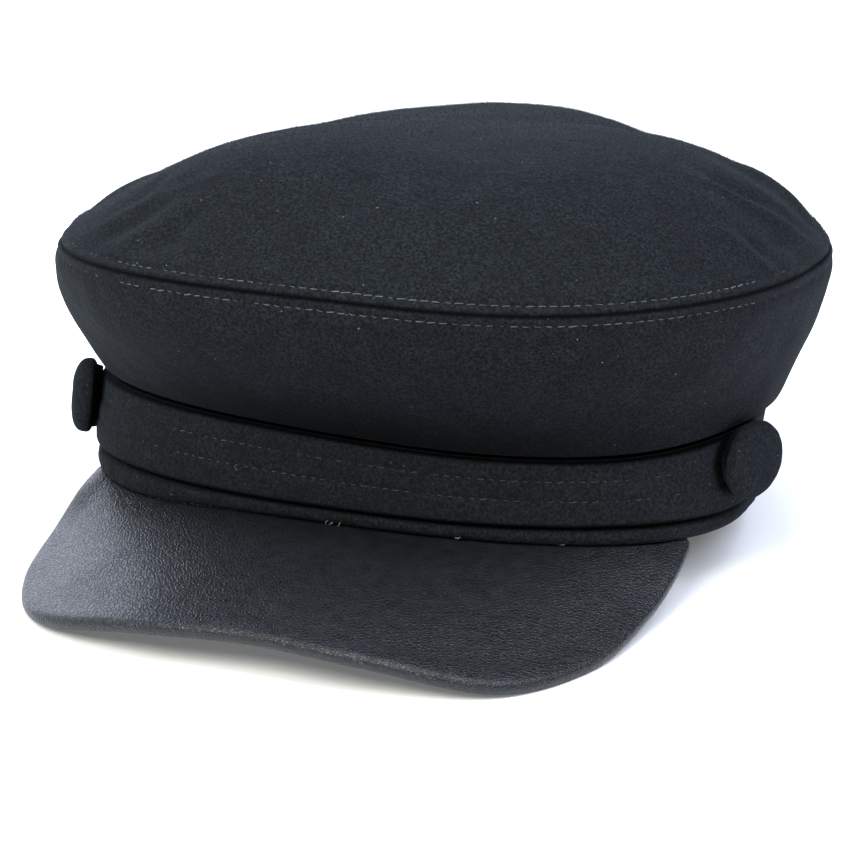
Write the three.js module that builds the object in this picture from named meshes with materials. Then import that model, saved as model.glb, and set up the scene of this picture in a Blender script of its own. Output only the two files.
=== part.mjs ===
// A breton fisherman cap: a domed wool crown on an upright band, a strap, two buttons and a leather peak.
// Millimetres, +Z up. The peak points along -Y and the wearer's left is +X.
// A bearing is measured round the cap from the front, positive towards +X.

import * as THREE from 'three';

// Headband: an oval, flatter in front than behind, of the cloth face at the rim
const bandHalfWidth = 95.3;
const bandFrontReach = 60.6;
const bandRearReach = 106.4;
const bandRimSquareness = 2.43;
const bandTopSquareness = 2.0;
const bandRearSquareness = 2.0;
const bandHeight = 25.7;
const bandLeftRise = 4.8;
const bandRightRise = 0.3;
const bandRiseSharpness = 19;
const bandSideFlare = 2;
const bandFrontFlare = 1;
const bandTopAcross = 1.4;
const bandWall = 2.5;

// Hem: the thick fold along the band's lower edge, and the dip of the rim by one end of the peak
const hemHeight = 4.6;
const hemSideRise = 1.2;
const hemBulge = 2.2;
const rimDipDepth = 2.2;
const rimDipBearing = -56;
const rimDipSpread = 20;

// Sag: how far the cloth over the strap hangs lower on the wearer's left of the front
const sagDepth = 2.9;
const sagBearing = 43;
const sagSpread = 46;
const strapSagShare = 0.1;

// Crown seam: the oval where the side panel meets the top panel
const seamHalfWidth = 107.9;
const seamFrontReach = 97.6;
const seamRearReach = 120.9;
const seamFrontSquareness = 2.5;
const seamRearSquareness = 2.1;
const seamAcross = 5.4;
const seamWidestBack = 4.9;
const seamRearRise = 2.9;
const seamLeftRise = 1.2;
const seamDipDepth = 1.7;
const seamDipBearing = 30;
const seamDipSpread = 24;
const seamDipReach = 5;

// Crown cloth
const crownWall = 2.0;
const sideHeight = 45.8;
const sideFootOverhang = 0.5;
const sideRoll = 1.8;
const sideRollHeight = 1.2;
const sideBulge = 5.4;
const sideBulgeRise = 1.4;
const domeHeight = 32.9;
const domeFullness = 3;
const apexAcross = 10.5;
const apexBack = 0.7;
const valleyFadeShare = 0.08;

// Strap across the front
const strapThickness = 2.7;
const strapEndReach = 13;
const strapEdgeRound = 0.9;
const strapEndRound = 6;

// Buttons on the strap
const leftButtonBearing = 82.5;
const leftButtonLift = 4;
const leftButtonTurn = 5;
const rightButtonBearing = 77.5;
const rightButtonLift = 2;
const rightButtonTurn = 3;
const buttonDiameter = 22;
const buttonThickness = 7.8;
const buttonBackDiameter = 18;

// Leather peak
const peakLength = 60.8;
const peakEndBearing = 72.7;
const peakFlare = -0.2;
const peakAcross = 0.8;
const peakDroop = 21.7;
const peakThickness = 3.2;
const peakEdgeThickness = 4.2;
const peakArch = 2.2;
const peakNoseRound = 0.3;

// Clearances, and how far the soft edges are pressed flat by the table
const seatGap = 0.3;
const rimPress = 0.8;
const peakPress = 0.3;

// Mesh steps
const ringSteps = 80;
const strapSteps = 44;
const peakSteps = 44;
const buttonSteps = 20;

// Peak outline from the middle to one end. across is a share of the half span, forward a share
// of the reach in front of the peak's ends, and droop a share of peakDroop.
const PEAK_OUTLINE = [
  { across: 0.0, forward: 1.0, droop: 0.7 },
  { across: 0.36, forward: 1.0, droop: 0.78 },
  { across: 0.73, forward: 0.89, droop: 1.0 },
  { across: 0.91, forward: 0.64, droop: 0.93 },
  { across: 0.98, forward: 0.33, droop: 0.61 },
  { across: 1.0, forward: 0.15, droop: 0.3 },
];

// How full the dome and the side panel are, as shares of domeFullness and sideBulge.
// The rows are evenly spaced in bearing, once round the cap from the rear.
const CROWN_FULLNESS = [
  { bearing: -180, dome: 1.26, side: 0.95 },
  { bearing: -135, dome: 1.0, side: 0.95 },
  { bearing: -90, dome: 0.74, side: 1.75 },
  { bearing: -45, dome: 1.32, side: 1.13 },
  { bearing: 0, dome: 1.0, side: 0.95 },
  { bearing: 45, dome: 1.0, side: 0.95 },
  { bearing: 90, dome: 1.42, side: 0.39 },
  { bearing: 135, dome: 0.75, side: 1.11 },
];

// Valleys pressed into the top panel. Each runs between two points given by a bearing and a share
// of the way from the apex to the seam. width is a share of seamHalfWidth, depth a share of domeHeight.
const TOP_VALLEYS = [
  { fromBearing: 74, fromShare: 0.78, toBearing: 85, toShare: 1.0, width: 0.085, depth: 0.11 },
  { fromBearing: 93, fromShare: 0.6, toBearing: 102, toShare: 0.98, width: 0.06, depth: 0.06 },
  { fromBearing: -36, fromShare: 0.74, toBearing: -43, toShare: 0.98, width: 0.06, depth: 0.05 },
  { fromBearing: -26, fromShare: 0.78, toBearing: -32, toShare: 0.98, width: 0.06, depth: 0.05 },
];

// Shares up the side panel, and from the seam to the apex, at which the cloth has a row of points
const SIDE_ROWS = [0, 0.03, 0.1, 0.22, 0.38, 0.55, 0.72, 0.88, 1];
const TOP_ROWS = [1, 0.96, 0.9, 0.82, 0.7, 0.54, 0.36, 0.18];

// Shares of the way out from the band to the peak's edge at which the leather has a row of points
const PEAK_ROWS = [0.12, 0.3, 0.5, 0.7, 0.88, 1];

// Outer face of the hem, from the rim up. out is a share of hemBulge and up a share of the hem's height.
const HEM_SECTION = [
  { out: 0.35, up: 0.0 },
  { out: 0.9, up: 0.15 },
  { out: 1.0, up: 0.5 },
  { out: 0.7, up: 0.9 },
];

// Half of a button's profile, from its back to its crest, as shares of its radius and thickness
const BUTTON_PROFILE = [
  { out: 0.97, up: 0.16 },
  { out: 1.0, up: 0.34 },
  { out: 0.93, up: 0.58 },
  { out: 0.72, up: 0.82 },
  { out: 0.38, up: 0.96 },
];

const wool = { color: 0x1d2027, roughness: 0.95, metalness: 0 };
const leather = { color: 0x1b1d22, roughness: 0.45, metalness: 0 };

const radians = THREE.MathUtils.degToRad;
const lerp = THREE.MathUtils.lerp;

// Reach of an oval from its centre at a bearing
function ovalReach(bearing, halfWidth, frontReach, rearReach, frontSquareness, rearSquareness) {
  const inFront = Math.cos(bearing) > 0;
  const power = inFront ? frontSquareness : rearSquareness;
  const across = Math.abs(Math.sin(bearing)) / halfWidth;
  const along = Math.abs(Math.cos(bearing)) / (inFront ? frontReach : rearReach);
  return (across ** power + along ** power) ** (-1 / power);
}

// Point of the band's cloth face at a bearing, and at a share of its height that may pass 0 or 1
function bandFace(bearing, share) {
  const reach = ovalReach(
    bearing,
    bandHalfWidth + bandSideFlare * share,
    bandFrontReach + bandFrontFlare * share,
    bandRearReach,
    lerp(bandRimSquareness, bandTopSquareness, share),
    bandRearSquareness,
  );
  return new THREE.Vector2(reach * Math.sin(bearing) + bandTopAcross * share, -reach * Math.cos(bearing));
}

// Share from 1 at a centre bearing, in degrees, that fades over a spread round the cap
function fading(bearing, centre, spread) {
  const turn = bearing - radians(centre);
  const away = THREE.MathUtils.radToDeg(Math.atan2(Math.sin(turn), Math.cos(turn)));
  return Math.exp(-((away / spread) ** 2));
}

// How far the band's upper edge climbs towards the sides
function sideRise(bearing) {
  const rise = Math.sin(bearing) > 0 ? bandLeftRise : bandRightRise;
  return rise * Math.abs(Math.sin(bearing)) ** bandRiseSharpness;
}

// How far the cloth sags at a bearing
function frontSag(bearing) {
  return sagDepth * fading(bearing, sagBearing, sagSpread);
}

// Height of the rim at a bearing
function rimLevel(bearing) {
  return -rimDipDepth * fading(bearing, rimDipBearing, rimDipSpread);
}

// How far the crown seam dips at a bearing
function seamDip(bearing) {
  return seamDipDepth * fading(bearing, seamDipBearing, seamDipSpread);
}

// Horizontal direction out of the band at a bearing
function bandOutward(bearing, share) {
  const step = 1e-4;
  const along = bandFace(bearing + step, share).sub(bandFace(bearing - step, share)).normalize();
  return new THREE.Vector3(along.y, -along.x, 0);
}

// Point at a distance out from the band's cloth face, at a height over the rim
function bandPoint(bearing, out, up) {
  const share = up / bandHeight;
  const face = bandFace(bearing, share);
  return new THREE.Vector3(face.x, face.y, up).addScaledVector(bandOutward(bearing, share), out);
}

// Height of the band's upper edge at a bearing
function bandTop(bearing) {
  return bandHeight + sideRise(bearing) - frontSag(bearing);
}

// Height of the hem's upper edge at a bearing
function hemTop(bearing) {
  return hemHeight + hemSideRise * Math.sin(bearing) ** 4 - strapSagShare * frontSag(bearing);
}

// Height of the slightly tilted level of the crown seam at a plan place
function seamLevel(x, y) {
  const lean = seamRearRise * y / seamRearReach + seamLeftRise * x / seamHalfWidth;
  return bandHeight + sideHeight + lean;
}

// Point of the crown seam at a bearing round the seam's own centre
function seamPoint(bearing) {
  const reach = ovalReach(
    bearing,
    seamHalfWidth,
    seamFrontReach + seamWidestBack,
    seamRearReach - seamWidestBack,
    seamFrontSquareness,
    seamRearSquareness,
  );
  const x = seamAcross + reach * Math.sin(bearing);
  const y = seamWidestBack - reach * Math.cos(bearing);
  return new THREE.Vector3(x, y, seamLevel(x, y) - seamDip(bearing));
}

// Value of a column of the fullness table at any bearing, eased from row to row
function fullnessAt(bearing, column) {
  const rows = CROWN_FULLNESS.length;
  const turns = THREE.MathUtils.euclideanModulo(bearing / (2 * Math.PI) + 0.5, 1) * rows;
  const row = Math.floor(turns);
  const ease = (1 - Math.cos(Math.PI * (turns - row))) / 2;
  return lerp(CROWN_FULLNESS[row % rows][column], CROWN_FULLNESS[(row + 1) % rows][column], ease);
}

// Outer face of the side panel, from its foot at share 0 to the seam at share 1
function sideFace(bearing, share) {
  const foot = bandPoint(bearing, sideFootOverhang, bandTop(bearing) + seatGap);
  const seam = seamPoint(bearing);
  const climb = share * (seam.z - foot.z);
  const bulge = sideBulge * fullnessAt(bearing, 'side') * Math.sin(Math.PI * share ** sideBulgeRise);
  const roll = sideRoll * (1 - Math.exp(-climb / sideRollHeight)) * (1 - share);
  return foot.lerp(seam, share).addScaledVector(bandOutward(bearing, 1), bulge + roll);
}

// Plan place on the top panel at a bearing and a share of the way from the apex to the seam
function topPlan(bearing, share) {
  const seam = seamPoint(bearing);
  const apexX = seamAcross + apexAcross;
  const apexY = seamWidestBack + apexBack;
  return new THREE.Vector2(lerp(apexX, seam.x, share), lerp(apexY, seam.y, share));
}

// Depth of the valleys at a plan place
function valleyDepth(place) {
  let depth = 0;
  for (const valley of TOP_VALLEYS) {
    const from = topPlan(radians(valley.fromBearing), valley.fromShare);
    const to = topPlan(radians(valley.toBearing), valley.toShare);
    const run = to.clone().sub(from);
    const along = THREE.MathUtils.clamp(place.clone().sub(from).dot(run) / run.lengthSq(), 0, 1);
    const away = from.addScaledVector(run, along).distanceTo(place) / (valley.width * seamHalfWidth);
    depth += valley.depth * domeHeight * Math.exp(-away * away) * along ** 0.5;
  }
  return depth;
}

// Outer face of the top panel, from the apex at share 0 to the seam at share 1
function topFace(bearing, share) {
  const plan = topPlan(bearing, share);
  const swell = domeHeight * (1 - share ** (domeFullness * fullnessAt(bearing, 'dome')));
  const fade = Math.min(1, (1 - share) / valleyFadeShare);
  const sunk = valleyDepth(plan) * fade + seamDip(bearing) * share ** seamDipReach;
  return new THREE.Vector3(plan.x, plan.y, seamLevel(plan.x, plan.y) + swell - sunk);
}

// Direction out of the cap, square to a face, at a bearing and share
function outwardNormal(face, bearing, share) {
  const step = 1e-3;
  const low = Math.max(share - step, 0.01);
  const high = Math.min(share + step, 1);
  const round = face(bearing + step, share).sub(face(bearing - step, share));
  const rise = face(bearing, high).sub(face(bearing, low));
  const normal = round.cross(rise).normalize();
  const fromCentre = face(bearing, share).sub(new THREE.Vector3(seamAcross, seamWidestBack, bandHeight));
  return normal.dot(fromCentre) < 0 ? normal.negate() : normal;
}

// The two edges of the mitred crown seam at a bearing: outer and inner corner, and the way across the cut
function seamMitre(bearing) {
  const sideNormal = outwardNormal(sideFace, bearing, 1);
  const topNormal = outwardNormal(topFace, bearing, 1);
  const bisector = sideNormal.clone().add(topNormal);
  const outer = seamPoint(bearing);
  const inner = outer.clone().addScaledVector(bisector, -crownWall / (1 + sideNormal.dot(topNormal)));
  const acrossCut = topNormal.clone().sub(sideNormal).normalize();
  return { outer, inner, acrossCut };
}

// Points of a wall's inner face under a row of shares
function innerRow(face, bearing, shares) {
  return shares.map((share) =>
    face(bearing, share).addScaledVector(outwardNormal(face, bearing, share), -crownWall));
}

// Closed body through a row of sections, each a list of as many points.
// A loop joins the last section to the first. With poles, each section is an open path whose
// two ends are shared by all. Otherwise each section is a closed loop, and a row has flat ends.
function bodyThrough(sections, { loop, poles }) {
  const count = sections[0].length;
  const positions = [];
  const index = [];
  const numbers = sections.map((section, row) => section.map((point, column) => {
    const isPole = poles && (column === 0 || column === count - 1);
    if (isPole && row > 0) {
      return column === 0 ? 0 : count - 1;
    }
    positions.push(point.x, point.y, point.z);
    return positions.length / 3 - 1;
  }));
  const face = (a, b, c) => {
    if (a !== b && b !== c && c !== a) {
      index.push(a, b, c);
    }
  };
  const lastRow = loop ? sections.length : sections.length - 1;
  const lastColumn = poles ? count - 1 : count;
  for (let row = 0; row < lastRow; row += 1) {
    const here = numbers[row];
    const next = numbers[(row + 1) % sections.length];
    for (let column = 0; column < lastColumn; column += 1) {
      const after = (column + 1) % count;
      face(here[column], next[column], next[after]);
      face(here[column], next[after], here[after]);
    }
  }
  if (!loop) {
    flatEnd(numbers[0], face, false);
    flatEnd(numbers[numbers.length - 1], face, true);
  }
  const geometry = new THREE.BufferGeometry();
  geometry.setAttribute('position', new THREE.Float32BufferAttribute(positions, 3));
  geometry.setIndex(index);
  return facingOut(geometry);
}

// Closes the end of a row by joining the section's first half to its second half
function flatEnd(section, face, last) {
  const count = section.length;
  for (let column = 0; column < Math.floor(count / 2) - 1; column += 1) {
    const corners = [column, column + 1, count - 2 - column, count - 1 - column];
    const [a, b, c, d] = corners.map((corner) => section[corner]);
    if (last) {
      face(a, c, b);
      face(a, d, c);
    } else {
      face(a, b, c);
      face(a, c, d);
    }
  }
}

// Turns a closed geometry's faces over if they point inwards
function facingOut(geometry) {
  const position = geometry.getAttribute('position');
  const index = geometry.getIndex();
  const corner = [new THREE.Vector3(), new THREE.Vector3(), new THREE.Vector3()];
  let volume = 0;
  for (let start = 0; start < index.count; start += 3) {
    corner.forEach((point, place) => point.fromBufferAttribute(position, index.getX(start + place)));
    volume += corner[0].dot(corner[1].clone().cross(corner[2]));
  }
  if (volume < 0) {
    const turned = Array.from(index.array);
    for (let start = 0; start < turned.length; start += 3) {
      [turned[start], turned[start + 1]] = [turned[start + 1], turned[start]];
    }
    geometry.setIndex(turned);
  }
  return geometry;
}

// Bearings once round the cap
function bearingsRound() {
  return Array.from({ length: ringSteps }, (_, step) => 2 * Math.PI * step / ringSteps);
}

// Even steps between two ends
function evenSteps(from, to, steps) {
  return Array.from({ length: steps + 1 }, (_, step) => lerp(from, to, step / steps));
}

function headbandGeometry() {
  const sections = bearingsRound().map((bearing) => {
    const top = bandTop(bearing);
    const fold = hemTop(bearing);
    const rim = rimLevel(bearing);
    const hem = HEM_SECTION.map(({ out, up }) => bandPoint(bearing, out * hemBulge, lerp(rim, fold, up)));
    const shoulder = bandPoint(bearing, 0, fold);
    const waist = bandPoint(bearing, 0, (fold + top) / 2);
    const brow = bandPoint(bearing, 0, top);
    const inside = [1, 0.5, 0].map((share) => bandPoint(bearing, -bandWall, lerp(rim, top, share)));
    return [...hem, shoulder, waist, brow, ...inside];
  });
  return bodyThrough(sections, { loop: true, poles: false });
}

function crownSideGeometry() {
  const sections = bearingsRound().map((bearing) => {
    const { outer, inner, acrossCut } = seamMitre(bearing);
    const outerRow = SIDE_ROWS.slice(0, -1).map((share) => sideFace(bearing, share));
    const innerShares = SIDE_ROWS.slice(1, -1).reverse();
    const foot = bandPoint(bearing, sideFootOverhang - crownWall, bandTop(bearing) + seatGap);
    return [
      ...outerRow,
      outer.addScaledVector(acrossCut, -seatGap / 2),
      inner.addScaledVector(acrossCut, -seatGap / 2),
      ...innerRow(sideFace, bearing, innerShares),
      foot,
    ];
  });
  return bodyThrough(sections, { loop: true, poles: false });
}

function crownTipGeometry() {
  const crest = topFace(0, 0);
  const underCrest = crest.clone().setZ(crest.z - crownWall);
  const sections = bearingsRound().map((bearing) => {
    const { outer, inner, acrossCut } = seamMitre(bearing);
    const rows = TOP_ROWS.slice(1);
    const outerRow = [...rows].reverse().map((share) => topFace(bearing, share));
    return [
      crest,
      ...outerRow,
      outer.addScaledVector(acrossCut, seatGap / 2),
      inner.addScaledVector(acrossCut, seatGap / 2),
      ...innerRow(topFace, bearing, rows),
      underCrest,
    ];
  });
  return bodyThrough(sections, { loop: true, poles: true });
}

// Height of the strap's lower edge at a bearing
function strapFoot(bearing) {
  return hemTop(bearing) + seatGap;
}

// Outer face of the strap, from its lower edge at share 0 to its upper edge at share 1
function strapFace(bearing, share) {
  return bandPoint(bearing, seatGap + strapThickness, lerp(strapFoot(bearing), bandTop(bearing), share));
}

// Bearing of a strap's end, past its button
function strapEnd(buttonBearing) {
  const button = radians(buttonBearing);
  return button + strapEndReach / bandFace(button, 0.5).length();
}

function strapGeometry() {
  const leftEnd = strapEnd(leftButtonBearing);
  const rightEnd = strapEnd(rightButtonBearing);
  const sections = evenSteps(-rightEnd, leftEnd, strapSteps).map((bearing) => {
    const reach = bandFace(bearing, 0.5).length();
    const fromEnd = Math.min(leftEnd - bearing, bearing + rightEnd) * reach;
    const corner = strapEndRound * Math.max(0, 1 - fromEnd / strapEndRound) ** 2 / 2;
    const low = strapFoot(bearing) + corner;
    const high = bandTop(bearing) - corner;
    const edge = strapEdgeRound;
    const inner = seatGap;
    const outer = seatGap + strapThickness;
    const place = (out, up) => bandPoint(bearing, out, up);
    return [
      place(inner, high),
      place(outer - edge, high),
      place(outer, high - edge),
      place(outer, (low + high) / 2),
      place(outer, low + edge),
      place(outer - edge, low),
      place(inner, low),
      place(inner, (low + high) / 2),
    ];
  });
  return bodyThrough(sections, { loop: false, poles: false });
}

// A domed disc turned round its own axis, back face at the origin and front along +Y of the profile
function buttonGeometry() {
  const profile = [
    new THREE.Vector2(0, 0),
    new THREE.Vector2(buttonBackDiameter / 2, 0),
    ...BUTTON_PROFILE.map(({ out, up }) => new THREE.Vector2(out * buttonDiameter / 2, up * buttonThickness)),
    new THREE.Vector2(0, buttonThickness),
  ];
  return new THREE.LatheGeometry(profile, buttonSteps);
}

// Places a button on the strap at a bearing, lifted from the strap's middle and turned towards the front.
// It stands off the strap as far as its turned back needs. Bearing and turn are in degrees.
function seatButton(geometry, place, lift, turn) {
  const bearing = radians(place);
  const share = 0.5 + lift / (bandTop(bearing) - strapFoot(bearing));
  const outward = outwardNormal(strapFace, bearing, share);
  const standOff = seatGap + Math.sin(radians(turn)) * buttonBackDiameter / 2;
  const seat = strapFace(bearing, share).addScaledVector(outward, standOff);
  const axis = outward.applyAxisAngle(new THREE.Vector3(0, 0, 1), -Math.sign(bearing) * radians(turn));
  const upright = new THREE.Quaternion().setFromUnitVectors(new THREE.Vector3(0, 1, 0), axis);
  return geometry.applyQuaternion(upright).translate(seat.x, seat.y, seat.z);
}

// Height of the peak's middle layer at its root, under the rim
function peakRootLevel(bearing) {
  return rimLevel(bearing) - seatGap - peakThickness / 2;
}

// Outer line of the peak's middle layer, from its right end to its left end
function peakOutline() {
  const end = radians(peakEndBearing);
  const root = bandPoint(end, 0, 0);
  const halfSpan = root.x + peakFlare;
  const reach = bandFrontReach + peakLength + root.y;
  const half = PEAK_OUTLINE.map(({ across, forward, droop }) =>
    new THREE.Vector3(across * halfSpan, root.y - forward * reach, -droop * peakDroop));
  half.push(new THREE.Vector3(root.x, root.y, peakRootLevel(end)));
  const mirrored = half.slice(1).reverse().map((point) => new THREE.Vector3(-point.x, point.y, point.z));
  const line = [...mirrored, ...half];
  line[0].setZ(peakRootLevel(-end));
  line.slice(1, -1).forEach((point) => point.setX(point.x + peakAcross));
  return new THREE.CatmullRomCurve3(line, false, 'centripetal');
}

// Middle layer of the peak: rows from under the band's inner face out to the edge
function peakLayer() {
  const end = radians(peakEndBearing);
  const outline = peakOutline();
  return evenSteps(0, 1, peakSteps).map((share) => {
    const bearing = lerp(-end, end, share);
    const depth = peakRootLevel(bearing);
    const under = bandPoint(bearing, -bandWall, 0).setZ(depth);
    const root = bandPoint(bearing, 0, 0).setZ(depth);
    const edge = outline.getPointAt(share);
    const arch = peakArch * Math.min(1, root.distanceTo(edge) / peakLength);
    const leaf = PEAK_ROWS.map((way) => {
      const point = root.clone().lerp(edge, way);
      point.z += 4 * arch * way * (1 - way);
      return point;
    });
    return [under, root, ...leaf];
  });
}

// Direction out of the upper face at each point of a layer
function layerNormals(layer) {
  return layer.map((row, line) => row.map((_, place) => {
    if (place === 0) {
      return new THREE.Vector3(0, 0, 1);
    }
    const before = layer[Math.max(line - 1, 0)][place];
    const after = layer[Math.min(line + 1, layer.length - 1)][place];
    const inner = row[place - 1];
    const outer = row[Math.min(place + 1, row.length - 1)];
    const normal = after.clone().sub(before).cross(outer.clone().sub(inner)).normalize();
    return normal.z < 0 ? normal.negate() : normal;
  }));
}

function peakGeometry() {
  const layer = peakLayer();
  const normals = layerNormals(layer);
  const sections = layer.map((row, line) => {
    const last = row.length - 1;
    const half = (place) => (place >= last - 1 ? peakEdgeThickness : peakThickness) / 2;
    const lift = (side) => row.map((point, place) =>
      point.clone().addScaledVector(normals[line][place], side * half(place)));
    const upper = lift(1);
    const lower = lift(-1).reverse();
    const outward = row[last].clone().sub(row[last - 1]).normalize();
    const nose = row[last].clone().addScaledVector(outward, peakEdgeThickness / 2);
    const round = normals[line][last].clone().multiplyScalar(peakNoseRound);
    const brow = upper[last].clone().lerp(nose, 0.5).add(round);
    const chin = lower[0].clone().lerp(nose, 0.5).sub(round);
    return [...upper, brow, chin, ...lower];
  });
  return bodyThrough(sections, { loop: false, poles: false });
}

// How the cap leans back when the peak's low corners and the rear of the rim share a table
function restPose(peak) {
  const rear = bandPoint(Math.PI, hemBulge, 0);
  rear.z += rimPress;
  const position = peak.getAttribute('position');
  let lean = 0;
  for (let vertex = 0; vertex < position.count; vertex += 1) {
    const drop = rear.z - position.getZ(vertex) - peakPress;
    lean = Math.max(lean, Math.atan2(drop, rear.y - position.getY(vertex)));
  }
  const turn = new THREE.Matrix4().makeRotationX(-lean);
  const contact = rear.clone().applyMatrix4(turn);
  return new THREE.Matrix4().makeTranslation(0, 0, -contact.z).multiply(turn);
}

// Leans a piece into the rest pose and flattens what would sink into the table
function lieOnTable(geometry, pose) {
  geometry.applyMatrix4(pose);
  const position = geometry.getAttribute('position');
  for (let vertex = 0; vertex < position.count; vertex += 1) {
    position.setZ(vertex, Math.max(0, position.getZ(vertex)));
  }
  return geometry;
}

const peak = peakGeometry();
const pose = restPose(peak);
const buttonLeft = seatButton(buttonGeometry(), leftButtonBearing, leftButtonLift, leftButtonTurn);
const buttonRight = seatButton(buttonGeometry(), -rightButtonBearing, rightButtonLift, rightButtonTurn);
const pieces = [
  ['crown_tip', crownTipGeometry(), wool],
  ['crown_side', crownSideGeometry(), wool],
  ['headband', headbandGeometry(), wool],
  ['front_strap', strapGeometry(), wool],
  ['button_left', buttonLeft, wool],
  ['button_right', buttonRight, wool],
  ['peak', peak, leather],
];

const cap = new THREE.Group();
for (const [name, geometry, finish] of pieces) {
  const mesh = new THREE.Mesh(lieOnTable(geometry, pose), new THREE.MeshStandardMaterial(finish));
  mesh.name = name;
  cap.add(mesh);
}

// The origin is under the middle of the cap, on the table
const box = new THREE.Box3().setFromObject(cap);
const middle = box.getCenter(new THREE.Vector3());
cap.position.set(-middle.x, -middle.y, -box.min.z);

export default cap;
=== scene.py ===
"""Dresses a breton fisherman cap: wool crown and band, stitched strap, covered buttons and a leather peak.

Sizes in the classes are millimetres in the cap's own frame, whose rim lies in the plane z = 0. The peak
points along -Y and the wearer's left is +X. RestPose leans that frame back onto the table, in metres.
A bearing is measured round the cap from the front, positive towards +X, in radians inside the code and
in degrees in the fields. The grains and heights of the finishes are metres, as the shaders read them.
"""

import logging
import math
from dataclasses import dataclass, field
from enum import Enum

import bpy
import bmesh
import numpy as np
from mathutils import Matrix, Vector, noise


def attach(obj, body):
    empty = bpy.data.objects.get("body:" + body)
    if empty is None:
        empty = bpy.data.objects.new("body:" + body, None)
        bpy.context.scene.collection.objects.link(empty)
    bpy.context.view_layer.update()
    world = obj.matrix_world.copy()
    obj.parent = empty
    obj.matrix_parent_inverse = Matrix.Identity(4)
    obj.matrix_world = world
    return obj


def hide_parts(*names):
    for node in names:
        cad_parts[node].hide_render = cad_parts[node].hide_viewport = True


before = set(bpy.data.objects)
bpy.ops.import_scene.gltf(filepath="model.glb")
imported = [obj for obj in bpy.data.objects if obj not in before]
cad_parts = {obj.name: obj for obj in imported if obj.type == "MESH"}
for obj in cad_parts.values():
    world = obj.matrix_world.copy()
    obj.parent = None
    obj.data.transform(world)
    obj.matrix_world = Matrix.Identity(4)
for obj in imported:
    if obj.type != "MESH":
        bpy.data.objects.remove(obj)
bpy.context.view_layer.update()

LOG = logging.getLogger("cap")
MM = 0.001
BODY = "root"
# Name of the point attribute that holds painted shade: how far each point's colour is darkened towards black
# where shade falls.
PAINTED_SHADE = "painted_shade"
OUTWARD = "outward"
UP = (0.0, 0.0, 1.0)
Colour = tuple[float, float, float]
Points = np.ndarray


class Slot(Enum):
    """Material slots of the record."""

    CROWN = "crown_wool"
    BAND = "band_wool"
    BUTTON = "button_wool"
    PEAK = "peak_leather"


class Ends(Enum):
    """How a row of sections is closed into one body."""

    LOOP = "loop"
    POLES = "poles"
    FLAT = "flat"


# Small helpers on numbers and points


def mix(low: Points | float, high: Points | float, share: Points | float) -> Points:
    """Returns the value at a share of the way from low to high."""
    return low + (high - low) * share


def unit(vectors: Points) -> Points:
    """Returns the vectors at length one."""
    return vectors / np.maximum(np.linalg.norm(vectors, axis=-1, keepdims=True), 1e-12)


def hump(distance: Points, width: float) -> Points:
    """Returns a smooth hump that is 1 at distance 0 and fades over width."""
    return np.exp(-((distance / width) ** 2))


def smooth_step(value: Points) -> Points:
    """Returns 0 below 0, 1 above 1 and an eased way between."""
    held = np.clip(value, 0.0, 1.0)
    return held * held * (3.0 - 2.0 * held)


def angle_between(bearing: Points, other: float) -> Points:
    """Returns the signed turn from the bearing other to each bearing, in radians."""
    return np.arctan2(np.sin(bearing - other), np.cos(bearing - other))


def painted_shade_near(distance: Points, width: float, fade: float) -> Points:
    """Returns the share of painted shade on cloth at distances from a seam or gap: 1 within width, then fading.
    """
    return hump(np.maximum(distance - width, 0.0), fade)


def fading(bearing: Points, centre: float, spread: float) -> Points:
    """Returns a share from 1 at a centre bearing that fades over a spread, both in degrees."""
    return hump(np.degrees(angle_between(bearing, math.radians(centre))), spread)


def ripple(points: Points, grain: float, seed: float) -> Points:
    """Smooth noise at points.

    Args:
        points: Places in millimetres, any shape with the coordinates last.
        grain: Size of one swell in millimetres.
        seed: Shifts the pattern, so that two layers differ.

    Returns:
        Values from about -1 to 1, in the shape of points without its last axis.
    """
    flat = points.reshape(-1, 3) / grain + seed
    values = np.fromiter((noise.noise(place) for place in flat.tolist()), float, len(flat))
    return values.reshape(points.shape[:-1])


def grid_normals(grid: Points, centre: Points) -> Points:
    """Directions out of a surface grid.

    Args:
        grid: Points of shape (round, along, 3), whose first axis closes on itself.
        centre: A point inside the surface, which the directions point away from.

    Returns:
        Unit vectors in the shape of grid.
    """
    around = np.roll(grid, -1, axis=0) - np.roll(grid, 1, axis=0)
    along = np.gradient(grid, axis=1)
    normals = unit(np.cross(around, along))
    inward = np.einsum("ijk,ijk->ij", normals, grid - centre) < 0
    normals[inward] *= -1
    return normals


def arc_lengths(grid: Points) -> Points:
    """Returns the distance of each point from the first along the grid's second axis."""
    steps = np.linalg.norm(np.diff(grid, axis=1), axis=-1)
    return np.concatenate([np.zeros((len(grid), 1)), np.cumsum(steps, axis=1)], axis=1)


@dataclass(frozen=True)
class RestPose:
    """How the cap leans back on the table, on the low corners of its peak and the rear of its rim."""

    lean: float = 6.600
    lift: float = 11.687
    across: float = -1.694
    along: float = -2.298

    def place(self, points: Points) -> Points:
        """Puts points of the cap's own frame into the shared frame.

        Args:
            points: Places in millimetres, with the coordinates last.

        Returns:
            The same places in metres, none of them under the table.
        """
        placed = self.turn(points) + np.array([self.across, self.along, self.lift])
        placed[..., 2] = np.maximum(placed[..., 2], 0.0)
        return placed * MM

    def turn(self, vectors: Points) -> Points:
        """Turns directions of the cap's own frame into the shared frame.

        Args:
            vectors: Directions, or places in any unit, with the coordinates last.

        Returns:
            The same vectors, leaned back onto the table but not moved.
        """
        cos, sin = math.cos(math.radians(self.lean)), math.sin(math.radians(self.lean))
        x, y, z = vectors[..., 0], vectors[..., 1], vectors[..., 2]
        return np.stack([x, y * cos + z * sin, -y * sin + z * cos], axis=-1)


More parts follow.
